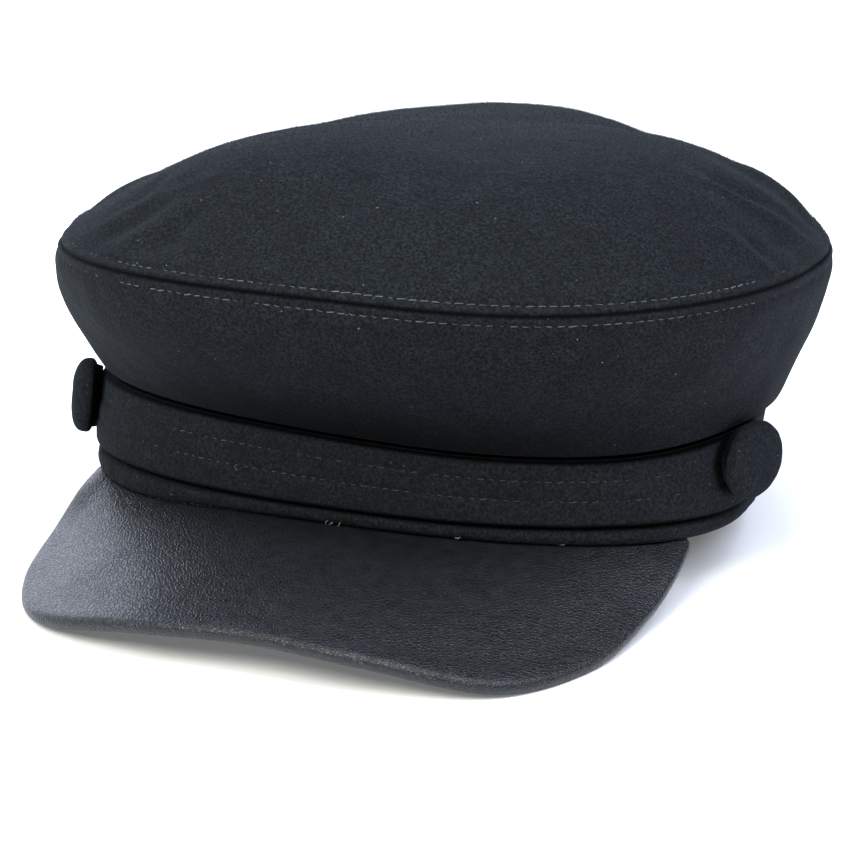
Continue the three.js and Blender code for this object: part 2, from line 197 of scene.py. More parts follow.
def oval_reach(
    bearing: Points, half_width: Points, front: Points, rear: float, front_square: Points, rear_square: float
) -> Points:
    """Reach of an oval from its centre, flatter in front or behind as its squareness grows.

    Args:
        bearing: Bearings in radians.
        half_width: Reach to each side.
        front: Reach to the front.
        rear: Reach to the rear.
        front_square: Power of the front half, 2 for an ellipse.
        rear_square: Power of the rear half.

    Returns:
        The reach at each bearing.
    """
    ahead = np.cos(bearing) > 0
    power = np.where(ahead, front_square, rear_square)
    across = np.abs(np.sin(bearing)) / half_width
    along = np.abs(np.cos(bearing)) / np.where(ahead, front, rear)
    return (across**power + along**power) ** (-1.0 / power)


# Forms that the pieces share


@dataclass(frozen=True)
class BandForm:
    """The upright oval band, its hem fold, and the sag of the cloth over it."""

    half_width: float = 95.3
    front_reach: float = 60.6
    rear_reach: float = 106.4
    rim_square: float = 2.43
    top_square: float = 2.0
    rear_square: float = 2.0
    height: float = 25.7
    left_rise: float = 4.8
    right_rise: float = 0.3
    rise_sharpness: float = 19.0
    side_flare: float = 2.0
    front_flare: float = 1.0
    top_across: float = 1.4
    wall: float = 2.5
    hem_height: float = 4.6
    hem_side_rise: float = 1.2
    hem_bulge: float = 2.2
    dip_depth: float = 2.2
    dip_bearing: float = -56.0
    dip_spread: float = 20.0
    sag_depth: float = 2.9
    sag_bearing: float = 43.0
    sag_spread: float = 46.0
    strap_sag_share: float = 0.1

    def face(self, bearing: Points, share: Points) -> Points:
        """Returns plan places of the cloth face at bearings and shares of the height."""
        reach = oval_reach(
            bearing,
            self.half_width + self.side_flare * share,
            self.front_reach + self.front_flare * share,
            self.rear_reach,
            mix(self.rim_square, self.top_square, share),
            self.rear_square,
        )
        return np.stack(
            [reach * np.sin(bearing) + self.top_across * share, -reach * np.cos(bearing)], axis=-1
        )

    def outward(self, bearing: Points, share: Points) -> Points:
        """Level directions out of the band.

        Args:
            bearing: Bearings in radians.
            share: Shares of the way up the band.

        Returns:
            Unit vectors that point away from the band's middle.
        """
        step = 1e-4
        along = unit(self.face(bearing + step, share) - self.face(bearing - step, share))
        return np.stack([along[..., 1], -along[..., 0], np.zeros_like(along[..., 0])], axis=-1)

    def point(self, bearing: Points, out: Points, up: Points) -> Points:
        """Points near the band.

        Args:
            bearing: Bearings in radians.
            out: Distance out from the cloth face.
            up: Height over the rim.

        Returns:
            Points with the coordinates last.
        """
        bearing, out, up = np.broadcast_arrays(
            np.asarray(bearing, float), np.asarray(out, float), np.asarray(up, float)
        )
        share = up / self.height
        plan = self.face(bearing, share)
        level = np.concatenate([plan, up[..., None]], axis=-1)
        return level + self.outward(bearing, share) * out[..., None]

    def rim(self, bearing: Points) -> Points:
        """Returns the height of the rim at bearings."""
        return -self.dip_depth * fading(bearing, self.dip_bearing, self.dip_spread)

    def sag(self, bearing: Points) -> Points:
        """Returns how far the cloth sags at bearings."""
        return self.sag_depth * fading(bearing, self.sag_bearing, self.sag_spread)

    def top(self, bearing: Points) -> Points:
        """Returns the height of the band's upper edge at bearings."""
        rise = np.where(np.sin(bearing) > 0, self.left_rise, self.right_rise)
        return self.height + rise * np.abs(np.sin(bearing)) ** self.rise_sharpness - self.sag(bearing)

    def hem_top(self, bearing: Points) -> Points:
        """Returns the height of the hem's upper edge at bearings."""
        rise = self.hem_side_rise * np.sin(bearing) ** 4
        return self.hem_height + rise - self.strap_sag_share * self.sag(bearing)


@dataclass(frozen=True)
class Valley:
    """A soft valley in the top panel, from one bearing and share of the way to the seam to another."""

    from_bearing: float
    from_share: float
    to_bearing: float
    to_share: float
    width: float
    depth: float


@dataclass(frozen=True)
class CrownForm:
    """The flared side panel, the crown seam and the low dome of the top panel."""

    band: BandForm = field(default_factory=BandForm)
    seam_half_width: float = 107.9
    seam_front_reach: float = 97.6
    seam_rear_reach: float = 120.9
    seam_front_square: float = 2.5
    seam_rear_square: float = 2.1
    seam_across: float = 5.4
    seam_widest_back: float = 4.9
    seam_rear_rise: float = 2.9
    seam_left_rise: float = 1.2
    dip_depth: float = 1.7
    dip_bearing: float = 30.0
    dip_spread: float = 24.0
    dip_reach: float = 5.0
    side_height: float = 45.8
    wall: float = 2.0
    foot_gap: float = 0.3
    foot_overhang: float = 0.5
    side_roll: float = 1.8
    side_roll_height: float = 1.2
    side_bulge: float = 5.4
    side_bulge_rise: float = 1.4
    dome_height: float = 32.9
    dome_fullness: float = 3.0
    apex_across: float = 10.5
    apex_back: float = 0.7
    valley_fade: float = 0.08
    dome_shares: tuple[float, ...] = (1.26, 1.0, 0.74, 1.32, 1.0, 1.0, 1.42, 0.75)
    side_shares: tuple[float, ...] = (0.95, 0.95, 1.75, 1.13, 0.95, 0.95, 0.39, 1.11)
    valleys: tuple[Valley, ...] = (
        Valley(74, 0.78, 85, 1.0, 0.085, 0.11),
        Valley(93, 0.6, 102, 0.98, 0.06, 0.06),
        Valley(-36, 0.74, -43, 0.98, 0.06, 0.05),
        Valley(-26, 0.78, -32, 0.98, 0.06, 0.05),
    )

    @property
    def centre(self) -> Points:
        """Returns a point inside the cap, over the middle of the seam."""
        return np.array([self.seam_across, self.seam_widest_back, self.band.height])

    def seam_level(self, plan: Points) -> Points:
        """Height of the tilted level of the seam.

        Args:
            plan: Places in plan, with the coordinates last.

        Returns:
            The height over each place.
        """
        to_rear = self.seam_rear_rise * plan[..., 1] / self.seam_rear_reach
        to_left = self.seam_left_rise * plan[..., 0] / self.seam_half_width
        return self.band.height + self.side_height + to_rear + to_left

    def seam(self, bearing: Points) -> Points:
        """Line of the crown seam.

        Args:
            bearing: Bearings in radians.

        Returns:
            A point of the seam at each bearing.
        """
        reach = oval_reach(
            bearing,
            self.seam_half_width,
            self.seam_front_reach + self.seam_widest_back,
            self.seam_rear_reach - self.seam_widest_back,
            self.seam_front_square,
            self.seam_rear_square,
        )
        across = self.seam_across + reach * np.sin(bearing)
        back = self.seam_widest_back - reach * np.cos(bearing)
        plan = np.stack([across, back], axis=-1)
        level = self.seam_level(plan) - self.seam_dip(bearing)
        return np.concatenate([plan, level[..., None]], axis=-1)

    def seam_dip(self, bearing: Points) -> Points:
        """Returns how far the crown seam dips at bearings."""
        return self.dip_depth * fading(bearing, self.dip_bearing, self.dip_spread)

    @staticmethod
    def fullness(bearing: Points, shares: tuple[float, ...]) -> Points:
        """Share of fullness, eased between even steps that start at the rear.

        Args:
            bearing: Bearings in radians.
            shares: Share at each step, once round.

        Returns:
            The share at each bearing.
        """
        turns = np.mod(bearing / (2 * math.pi) + 0.5, 1.0) * len(shares)
        row = np.floor(turns).astype(int) % len(shares)
        ease = (1 - np.cos(math.pi * (turns - np.floor(turns)))) / 2
        table = np.array(shares)
        return mix(table[row], table[(row + 1) % len(shares)], ease)

    def side(self, bearing: Points, share: Points) -> Points:
        """Outer face of the side panel.

        Args:
            bearing: Bearings in radians.
            share: Shares of the way from the foot at 0 to the seam at 1.

        Returns:
            A point for each pair of bearing and share.
        """
        bearing, share = np.broadcast_arrays(np.asarray(bearing, float), np.asarray(share, float))
        foot = self.band.point(bearing, self.foot_overhang, self.band.top(bearing) + self.foot_gap)
        seam = self.seam(bearing)
        climb = share * (seam[..., 2] - foot[..., 2])
        full = self.fullness(bearing, self.side_shares)
        bulge = self.side_bulge * full * np.sin(math.pi * share**self.side_bulge_rise)
        roll = self.side_roll * (1 - np.exp(-climb / self.side_roll_height)) * (1 - share)
        out = self.band.outward(bearing, np.ones_like(bearing))
        return mix(foot, seam, share[..., None]) + out * (bulge + roll)[..., None]

    def top_plan(self, bearing: Points, share: Points) -> Points:
        """Returns plan places of the top panel at bearings and shares of the way to the seam."""
        apex = np.array([self.seam_across + self.apex_across, self.seam_widest_back + self.apex_back])
        return mix(apex, self.seam(bearing)[..., :2], np.asarray(share)[..., None])

    def valley_depth(self, plan: Points) -> Points:
        """Depth of the soft valleys of the top.

        Args:
            plan: Places in plan, with the coordinates last.

        Returns:
            The depth at each place.
        """
        depth = np.zeros(plan.shape[:-1])
        for valley in self.valleys:
            start = self.top_plan(np.radians(valley.from_bearing), np.float64(valley.from_share))
            end = self.top_plan(np.radians(valley.to_bearing), np.float64(valley.to_share))
            run = end - start
            along = np.clip((plan - start) @ run / (run @ run), 0, 1)
            away = np.linalg.norm(plan - start - along[..., None] * run, axis=-1)
            full = valley.depth * self.dome_height
            depth += full * hump(away, valley.width * self.seam_half_width) * along**0.5
        return depth

    def top(self, bearing: Points, share: Points) -> Points:
        """Outer face of the top panel.

        Args:
            bearing: Bearings in radians.
            share: Shares of the way from the apex at 0 to the seam at 1.

        Returns:
            A point for each pair of bearing and share.
        """
        bearing, share = np.broadcast_arrays(np.asarray(bearing, float), np.asarray(share, float))
        plan = self.top_plan(bearing, share)
        power = self.dome_fullness * self.fullness(bearing, self.dome_shares)
        swell = self.dome_height * (1 - share**power)
        fade = np.minimum(1.0, (1 - share) / self.valley_fade)
        sunk = self.valley_depth(plan) * fade + self.seam_dip(bearing) * share**self.dip_reach
        height = self.seam_level(plan) + swell - sunk
        return np.concatenate([plan, height[..., None]], axis=-1)


# Meshes


def body_through(name: str, sections: Points, ends: Ends, painted_shade: Points | None = None) -> bpy.types.Object:
    """One closed body through rows of sections.

    Args:
        name: Name of the new object.
        sections: Points in metres, of shape (rows, points in a section, 3).
        ends: LOOP joins the last section to the first. POLES does so too, and each section is an open
            path whose two ends all sections share. FLAT caps the first and last section.
        painted_shade: Share of painted shade at each point, from 0 to 1, that darkens its colour where shade
            falls, or None where there is none.

    Returns:
        The object, smooth shaded, with its faces pointing out.
    """
    rows, count = sections.shape[:2]
    numbers = np.arange(rows * count).reshape(rows, count)
    if ends is Ends.POLES:
        numbers[:, 0] = numbers[0, 0]
        numbers[:, -1] = numbers[0, -1]
    following = numbers[1:] if ends is Ends.FLAT else np.roll(numbers, -1, axis=0)
    here = numbers[:-1] if ends is Ends.FLAT else numbers
    if ends is not Ends.POLES:
        here = np.concatenate([here, here[:, :1]], axis=1)
        following = np.concatenate([following, following[:, :1]], axis=1)
    faces = [list(dict.fromkeys(quad)) for quad in quads_between(here, following)]
    if ends is Ends.FLAT:
        faces += [numbers[0].tolist(), numbers[-1].tolist()]
    mesh = bpy.data.meshes.new(name)
    mesh.from_pydata(sections.reshape(-1, 3).tolist(), [], faces)
    if painted_shade is not None:
        keep_painted_shade(mesh, painted_shade)
    return finished(name, mesh)


def quads_between(here: Points, following: Points) -> list[list[int]]:
    """Returns the four-sided faces between rows of point numbers and the rows that follow them."""
    corners = [here[:, :-1], following[:, :-1], following[:, 1:], here[:, 1:]]
    return np.stack(corners, axis=-1).reshape(-1, 4).tolist()


def linked(name: str, mesh: bpy.types.Mesh) -> bpy.types.Object:
    """New object of a mesh, linked to the scene.

    Args:
        name: Name of the object.
        mesh: Mesh that it shows.

    Returns:
        The object.
    """
    piece = bpy.data.objects.new(name, mesh)
    bpy.context.scene.collection.objects.link(piece)
    return piece


def keep_painted_shade(mesh: bpy.types.Mesh, painted_shade: Points) -> None:
    """Writes the painted shade of each point into the mesh, for the finishes to darken the colour by."""
    depth = mesh.attributes.new(PAINTED_SHADE, "FLOAT", "POINT")
    depth.data.foreach_set("value", painted_shade.astype(np.float32).ravel())


def finished(name: str, mesh: bpy.types.Mesh) -> bpy.types.Object:
    """Cleans a closed mesh and links it as an object.

    Args:
        name: Name of the new object.
        mesh: The mesh, which may hold doubled or unused points.

    Returns:
        The object, smooth shaded, with its faces pointing out.
    """
    work = bmesh.new()
    work.from_mesh(mesh)
    bmesh.ops.remove_doubles(work, verts=work.verts, dist=0.001 * MM)
    unused = [point for point in work.verts if not point.link_faces]
    bmesh.ops.delete(work, geom=unused, context="VERTS")
    bmesh.ops.recalc_face_normals(work, faces=work.faces)
    for part in work.faces:
        part.smooth = True
    work.to_mesh(mesh)
    work.free()
    return linked(name, mesh)


def path_object(name: str, points: Points, outward: Points, closed: bool) -> bpy.types.Object:
    """Lines of edges that carry a direction out of the cloth.

    Args:
        name: Name of the new object.
        points: Places in metres, of shape (lines, places, 3).
        outward: Direction out of the cloth at each place.
        closed: Whether the last place of a line joins its first.

    Returns:
        The object, with the directions in the point attribute "outward".
    """
    lines, count = points.shape[:2]
    numbers = np.arange(lines * count).reshape(lines, count)
    after = np.roll(numbers, -1, axis=1)
    kept = count if closed else count - 1
    edges = np.stack([numbers[:, :kept], after[:, :kept]], axis=-1).reshape(-1, 2)
    mesh = bpy.data.meshes.new(name)
    mesh.from_pydata(points.reshape(-1, 3).tolist(), edges.tolist(), [])
    layer = mesh.attributes.new(OUTWARD, "FLOAT_VECTOR", "POINT")
    layer.data.foreach_set("vector", outward.astype(np.float32).ravel())
    return linked(name, mesh)


def surface_object(name: str, grid: Points, painted_shade: Points) -> bpy.types.Object:
    """An open surface through a grid of points, closed round its first axis.

    Args:
        name: Name of the new object.
        grid: Points in metres, of shape (round, along, 3).
        painted_shade: Share of painted shade at each point, from 0 to 1.

    Returns:
        The object.
    """
    rows, count = grid.shape[:2]
    numbers = np.arange(rows * count).reshape(rows, count)
    faces = quads_between(numbers, np.roll(numbers, -1, axis=0))
    mesh = bpy.data.meshes.new(name)
    mesh.from_pydata(grid.reshape(-1, 3).tolist(), [], faces)
    keep_painted_shade(mesh, painted_shade)
    return linked(name, mesh)


def grown(host: bpy.types.Object, tree: bpy.types.NodeTree, inputs: dict[str, object]) -> bpy.types.Object:
    """Runs a node tree on an object and keeps what it grows as a plain mesh.

    Args:
        host: The object whose mesh the tree reads. Its mesh is replaced.
        tree: The tree, whose inputs are set by their names here and by their identifiers on the modifier.
        inputs: Value of each named input.

    Returns:
        The host, now a plain mesh without the modifier.
    """
    modifier = host.modifiers.new("grow", "NODES")
    modifier.node_group = tree
    items = [item for item in tree.interface.items_tree if item.item_type == "SOCKET"]
    sockets = {item.name: item.identifier for item in items}
    for label, value in inputs.items():
        modifier[sockets[label]] = value
    host.update_tag()
    bpy.context.view_layer.update()
    evaluated = host.evaluated_get(bpy.context.evaluated_depsgraph_get())
    mesh = bpy.data.meshes.new_from_object(evaluated)
    host.modifiers.clear()
    host.data = mesh
    for face in mesh.polygons:
        face.use_smooth = True
    return host


class NodeSheet:
    """Short way to fill a node tree."""

    def __init__(self, tree: bpy.types.NodeTree) -> None:
        """Keeps the tree to fill."""
        self.tree = tree

    def add(
        self, kind: str, inputs: dict[str | int, object] | None = None, **settings: object
    ) -> bpy.types.Node:
        """Adds one node.

        Args:
            kind: Node type.
            inputs: Values or output sockets for its inputs, by name or place.
            **settings: Properties of the node.

        Returns:
            The new node.
        """
        node = self.tree.nodes.new(kind)
        for label, value in settings.items():
            setattr(node, label, value)
        for label, value in (inputs or {}).items():
            socket = self.input(node, label)
            if isinstance(value, bpy.types.NodeSocket):
                self.tree.links.new(value, socket)
            else:
                socket.default_value = value
        return node

    @staticmethod
    def input(node: bpy.types.Node, label: str | int) -> bpy.types.NodeSocket:
        """Returns an input by place, or by name among those that the node's settings use."""
        if isinstance(label, int):
            return node.inputs[label]
        return next(socket for socket in node.inputs if socket.enabled and socket.name == label)


# Node trees for what repeats

STITCH_SIZES = (0.6, 1.1)
FIBRE_SIZES = (0.4, 1.3)


def tree_inputs(tree: bpy.types.NodeTree, sizes: dict[str, float]) -> None:
    """Gives a geometry tree its inputs: the host's geometry, named sizes, a material and a seed.

    Args:
        tree: Geometry tree without inputs.
        sizes: Default of each named size.
    """
    tree.interface.new_socket("Geometry", in_out="INPUT", socket_type="NodeSocketGeometry")
    for label, value in sizes.items():
        socket = tree.interface.new_socket(label, in_out="INPUT", socket_type="NodeSocketFloat")
        socket.default_value = value
    tree.interface.new_socket("Finish", in_out="INPUT", socket_type="NodeSocketMaterial")
    tree.interface.new_socket("Seed", in_out="INPUT", socket_type="NodeSocketInt")
    tree.interface.new_socket("Geometry", in_out="OUTPUT", socket_type="NodeSocketGeometry")


def stitch_tree() -> bpy.types.NodeTree:
    """Tree that lays one short sunken thread at each even step of a line.

    Returns:
        The tree, with inputs Pitch, Length, Radius, Rise and Slant.
    """
    tree = bpy.data.node_groups.new("stitch_row", "GeometryNodeTree")
    tree_inputs(
        tree, {"Pitch": 0.003, "Length": 0.002, "Radius": 0.00015, "Rise": 0.0002, "Slant": 0.1}
    )
    sheet = NodeSheet(tree)
    given = sheet.add("NodeGroupInput").outputs
    line = sheet.add("GeometryNodeMeshToCurve", {"Mesh": given["Geometry"]})
    steps = sheet.add(
        "GeometryNodeResampleCurve", {"Curve": line.outputs[0], "Length": given["Pitch"]}, mode="LENGTH"
    )
    tangent = sheet.add("GeometryNodeInputTangent")
    outward = sheet.add("GeometryNodeInputNamedAttribute", {"Name": OUTWARD}, data_type="FLOAT_VECTOR")
    facing = sheet.add(
        "FunctionNodeAxesToRotation",
        {"Primary Axis": tangent.outputs[0], "Secondary Axis": outward.outputs[0]},
        primary_axis="X",
        secondary_axis="Z",
    )
    less = sheet.add("ShaderNodeMath", {0: given["Slant"], 1: -1.0}, operation="MULTIPLY")
    slant = sheet.add(
        "FunctionNodeRandomValue", {"Min": less.outputs[0], "Max": given["Slant"], "Seed": given["Seed"]},
        data_type="FLOAT",
    )
    turn = sheet.add("ShaderNodeCombineXYZ", {"Z": used_output(slant)})
    euler = sheet.add("FunctionNodeEulerToRotation", {0: turn.outputs[0]})
    slanted = sheet.add(
        "FunctionNodeRotateRotation", {"Rotation": facing.outputs[0], "Rotate By": euler.outputs[0]},
        rotation_space="LOCAL",
    )
    size = random_size(sheet, STITCH_SIZES, given["Seed"])
    half = sheet.add("ShaderNodeMath", {0: given["Length"], 1: 0.5}, operation="MULTIPLY")
    back = sheet.add("ShaderNodeMath", {0: given["Length"], 1: -0.5}, operation="MULTIPLY")
    sunk = sheet.add("ShaderNodeMath", {0: given["Rise"], 1: -1.0}, operation="MULTIPLY")
    lift = sheet.add("ShaderNodeMath", {0: given["Rise"], 1: 2.0}, operation="MULTIPLY")
    start = sheet.add("ShaderNodeCombineXYZ", {"X": back.outputs[0], "Z": sunk.outputs[0]})
    crest = sheet.add("ShaderNodeCombineXYZ", {"Z": lift.outputs[0]})
    end = sheet.add("ShaderNodeCombineXYZ", {"X": half.outputs[0], "Z": sunk.outputs[0]})
    bow = sheet.add(
        "GeometryNodeCurveQuadraticBezier",
        {"Resolution": 5, "Start": start.outputs[0], "Middle": crest.outputs[0], "End": end.outputs[0]},
    )
    rim = sheet.add("GeometryNodeCurvePrimitiveCircle", {"Resolution": 6, "Radius": given["Radius"]})
    thread = sheet.add(
        "GeometryNodeCurveToMesh", {"Curve": bow.outputs[0], "Profile Curve": rim.outputs[0], "Fill Caps": True}
    )
    placed = sheet.add(
        "GeometryNodeInstanceOnPoints",
        {"Points": steps.outputs[0], "Instance": thread.outputs[0], "Rotation": slanted.outputs[0],
         "Scale": used_output(size)},
    )
    return closed_tree(sheet, placed.outputs[0], given["Finish"])


def random_size(
    sheet: NodeSheet, sizes: tuple[float, float], seed: bpy.types.NodeSocket
) -> bpy.types.Node:
    """Returns a node that draws a size for each instance between two sizes."""
    low, high = sizes
    return sheet.add("FunctionNodeRandomValue", {"Min": low, "Max": high, "Seed": seed}, data_type="FLOAT")


def used_output(node: bpy.types.Node) -> bpy.types.NodeSocket:
    """Returns the output that a node's data type uses."""
    return next(socket for socket in node.outputs if socket.enabled)


def closed_tree(
    sheet: NodeSheet, grown_parts: bpy.types.NodeSocket, finish: bpy.types.NodeSocket
) -> bpy.types.NodeTree:
    """Ends a tree with real geometry and a material.

    Args:
        sheet: The tree so far.
        grown_parts: Output that holds the instances.
        finish: Output that holds the material.

    Returns:
        The finished tree.
    """
    real = sheet.add("GeometryNodeRealizeInstances", {"Geometry": grown_parts})
    dressed = sheet.add("GeometryNodeSetMaterial", {"Geometry": real.outputs[0], "Material": finish})
    sheet.add("NodeGroupOutput", {"Geometry": dressed.outputs[0]})
    return sheet.tree


def nap_tree() -> bpy.types.NodeTree:
    """Tree that scatters fine leaning fibres over a surface.

    Returns:
        The tree, with inputs Density, Length, Radius and Lean.
    """
    tree = bpy.data.node_groups.new("nap", "GeometryNodeTree")
    tree_inputs(tree, {"Density": 1e6, "Length": 0.0008, "Radius": 0.00003, "Lean": 1.2})
    sheet = NodeSheet(tree)
    given = sheet.add("NodeGroupInput").outputs
    spots = sheet.add(
        "GeometryNodeDistributePointsOnFaces",
        {"Mesh": given["Geometry"], "Density": given["Density"], "Seed": given["Seed"]},
        distribute_method="RANDOM",
    )
    less = sheet.add("ShaderNodeMath", {0: given["Lean"], 1: -1.0}, operation="MULTIPLY")
    low = sheet.add("ShaderNodeCombineXYZ", {"X": less.outputs[0], "Y": less.outputs[0], "Z": -math.pi})
    high = sheet.add("ShaderNodeCombineXYZ", {"X": given["Lean"], "Y": given["Lean"], "Z": math.pi})
    lean = sheet.add(
        "FunctionNodeRandomValue", {"Min": low.outputs[0], "Max": high.outputs[0], "Seed": given["Seed"]},
        data_type="FLOAT_VECTOR",
    )
    euler = sheet.add("FunctionNodeEulerToRotation", {0: used_output(lean)})
    leaning = sheet.add(
        "FunctionNodeRotateRotation", {"Rotation": spots.outputs["Rotation"], "Rotate By": euler.outputs[0]},
        rotation_space="LOCAL",
    )
    size = random_size(sheet, FIBRE_SIZES, given["Seed"])
    fibre = sheet.add(
        "GeometryNodeMeshCone",
        {"Vertices": 3, "Side Segments": 1, "Fill Segments": 1, "Radius Top": 0.0,
         "Radius Bottom": given["Radius"], "Depth": given["Length"]},
        fill_type="NGON",
    )
    placed = sheet.add(
        "GeometryNodeInstanceOnPoints",
        {"Points": spots.outputs["Points"], "Instance": fibre.outputs[0], "Rotation": leaning.outputs[0],
         "Scale": used_output(size)},
    )
    return closed_tree(sheet, placed.outputs[0], given["Finish"])


# Finishes


@dataclass(frozen=True)
class WoolFinish:
    """Napped melton wool: a dark mottled ground, paler fibre tips, stray lint and a soft sheen, darkened towards
    black by painted shade where the point attribute asks for it.
    """

    name: str
    ground: Colour = (0.0048, 0.0056, 0.0065)
    tips: Colour = (0.0225, 0.0260, 0.0304)
    lint: Colour = (0.2, 0.21, 0.22)
    # Share of the colour that the painted shade takes away at its full depth.
    painted_shade_strength: float = 0.97
    mottle_grain: float = 0.0008
    mottle_low: float = 0.41
    mottle_high: float = 0.68
    cloud_grain: float = 0.009
    cloud_low: float = 0.25
    cloud_high: float = 0.75
    cloud_floor: float = 0.55
    felt_grain: float = 0.0022
    felt_height: float = 0.00028
    fibre_height: float = 0.00016
    lint_cell: float = 0.0036
    lint_size: float = 0.055
    lint_free: float = 0.66
    roughness: float = 0.95
    specular: float = 0.07
    sheen: float = 0.02
    sheen_roughness: float = 0.4
    sheen_tint: Colour = (0.7, 0.82, 1.0)

    def material(self) -> bpy.types.Material:
        """Builds the wool.

        Returns:
            A procedural material that reads Object coordinates.
        """
        material, sheet, place = start_material(self.name)
        mottle = noise_node(sheet, place, self.mottle_grain, 3.0, 0.7)
        cloud = noise_node(sheet, place, self.cloud_grain, 2.0)
        fine = ranged(sheet, mottle.outputs[0], self.mottle_low, self.mottle_high)
        broad = ranged(sheet, cloud.outputs[0], self.cloud_low, self.cloud_high, self.cloud_floor)
        share = product(sheet, fine.outputs[0], broad.outputs[0])
        wool = blend(sheet, share.outputs[0], opaque(self.ground), opaque(self.tips))
        cells = sheet.add("ShaderNodeTexVoronoi", {"Vector": place, "Scale": 1 / self.lint_cell})
        fleck = sheet.add(
            "ShaderNodeMath", {0: cells.outputs["Distance"], 1: self.lint_size}, operation="LESS_THAN"
        )
        chosen = sheet.add("ShaderNodeSeparateColor", {0: cells.outputs["Color"]})
        rare = sheet.add(
            "ShaderNodeMath", {0: chosen.outputs[0], 1: self.lint_free}, operation="GREATER_THAN"
        )
        speck = product(sheet, fleck.outputs[0], rare.outputs[0])
        faint = product(sheet, speck.outputs[0], chosen.outputs[1])
        coloured = blend(sheet, faint.outputs[0], used_output(wool), opaque(self.lint))
        felt = noise_node(sheet, place, self.felt_grain, 4.0, 0.65)
        low = bump(sheet, felt.outputs[0], self.felt_height)
        high = bump(sheet, mottle.outputs[0], self.fibre_height, low.outputs[0])
        # Painted shade: the point attribute darkens the colour towards black in seams, gaps, folds, round the
        # buttons and on the lower front of the side panel.
        painted_shade = sheet.add("ShaderNodeAttribute", attribute_name=PAINTED_SHADE)
        painted_dark = product(sheet, painted_shade.outputs["Fac"], self.painted_shade_strength)
        shaded = blend(sheet, painted_dark.outputs[0], used_output(coloured), opaque((0.0, 0.0, 0.0)))
        shade(sheet, used_output(shaded), high.outputs[0], self.roughness, self.specular)
        surface = sheet.tree.nodes["Principled BSDF"].inputs
        surface["Sheen Weight"].default_value = self.sheen
        surface["Sheen Roughness"].default_value = self.sheen_roughness
        surface["Sheen Tint"].default_value = opaque(self.sheen_tint)
        return material


@dataclass(frozen=True)
class LeatherFinish:
    """Black pebbled leather with a satin gloss."""

    name: str
    ground: Colour = (0.0045, 0.0052, 0.0065)
    worn: Colour = (0.0095, 0.0108, 0.0135)
    pebble: float = 0.00105
    pebble_height: float = 0.0001
    pebble_bend: float = 0.0011
    groove_share: float = 0.28
    crease_grain: float = 0.0042
    crease_height: float = 0.00007
    worn_low: float = 0.3
    worn_high: float = 0.7
    roughness_low: float = 0.36
    roughness_high: float = 0.6
    specular: float = 0.36
    coat: float = 0.22
    coat_roughness: float = 0.2

    def material(self) -> bpy.types.Material:
        """Builds the leather.

        Returns:
            A procedural material that reads Object coordinates.
        """
        material, sheet, place = start_material(self.name)
        warp = noise_node(sheet, place, self.crease_grain, 2.0)
        middle = (0.5, 0.5, 0.5)
        shift = sheet.add("ShaderNodeVectorMath", {0: warp.outputs["Color"], 1: middle}, operation="SUBTRACT")
        small = sheet.add(
            "ShaderNodeVectorMath", {0: shift.outputs[0], "Scale": self.pebble_bend}, operation="SCALE"
        )
        bent = sheet.add("ShaderNodeVectorMath", {0: place, 1: small.outputs[0]}, operation="ADD")
        pebbles = sheet.add(
            "ShaderNodeTexVoronoi",
            {"Vector": bent.outputs[0], "Scale": 1 / self.pebble},
            feature="DISTANCE_TO_EDGE",
        )
        grooves = ranged(sheet, pebbles.outputs["Distance"], 0.0, self.groove_share)
        grooves.interpolation_type = "SMOOTHSTEP"
        wear = ranged(sheet, warp.outputs[0], self.worn_low, self.worn_high)
        tone = blend(sheet, wear.outputs[0], opaque(self.ground), opaque(self.worn))
        rough = ranged(sheet, grooves.outputs[0], 0.0, 1.0, self.roughness_high, self.roughness_low)
        soft = bump(sheet, warp.outputs[0], self.crease_height)
        grain = bump(sheet, grooves.outputs[0], self.pebble_height, soft.outputs[0])
        shade(sheet, used_output(tone), grain.outputs[0], self.roughness_high, self.specular)
        surface = sheet.tree.nodes["Principled BSDF"].inputs
        sheet.tree.links.new(rough.outputs[0], surface["Roughness"])
        sheet.tree.links.new(grain.outputs[0], surface["Coat Normal"])
        surface["Coat Weight"].default_value = self.coat
        surface["Coat Roughness"].default_value = self.coat_roughness
        return material


@dataclass(frozen=True)
class ThreadFinish:
    """Twisted sewing thread."""

    name: str
    dark: Colour = (0.035, 0.037, 0.042)
    pale: Colour = (0.13, 0.135, 0.147)
    twist_grain: float = 0.0009
    twist_height: float = 0.00005
    twist_strength: float = 0.6
    drift_grain: float = 1 / 60
    pale_from: float = 0.14
    pale_to: float = 0.42
    roughness: float = 0.6
    specular: float = 0.3

    def material(self) -> bpy.types.Material:
        """Builds the thread.

        Returns:
            A procedural material that reads Object coordinates.
        """
        material, sheet, place = start_material(self.name)
        fleck = noise_node(sheet, place, self.twist_grain, 2.0)
        drift = noise_node(sheet, place, self.drift_grain, 1.0)
        both = product(sheet, fleck.outputs[0], drift.outputs[0])
        share = ranged(sheet, both.outputs[0], self.pale_from, self.pale_to)
        tone = blend(sheet, share.outputs[0], opaque(self.dark), opaque(self.pale))
        twist = bump(sheet, fleck.outputs[0], self.twist_height, strength=self.twist_strength)
        shade(sheet, used_output(tone), twist.outputs[0], self.roughness, self.specular)
        return material


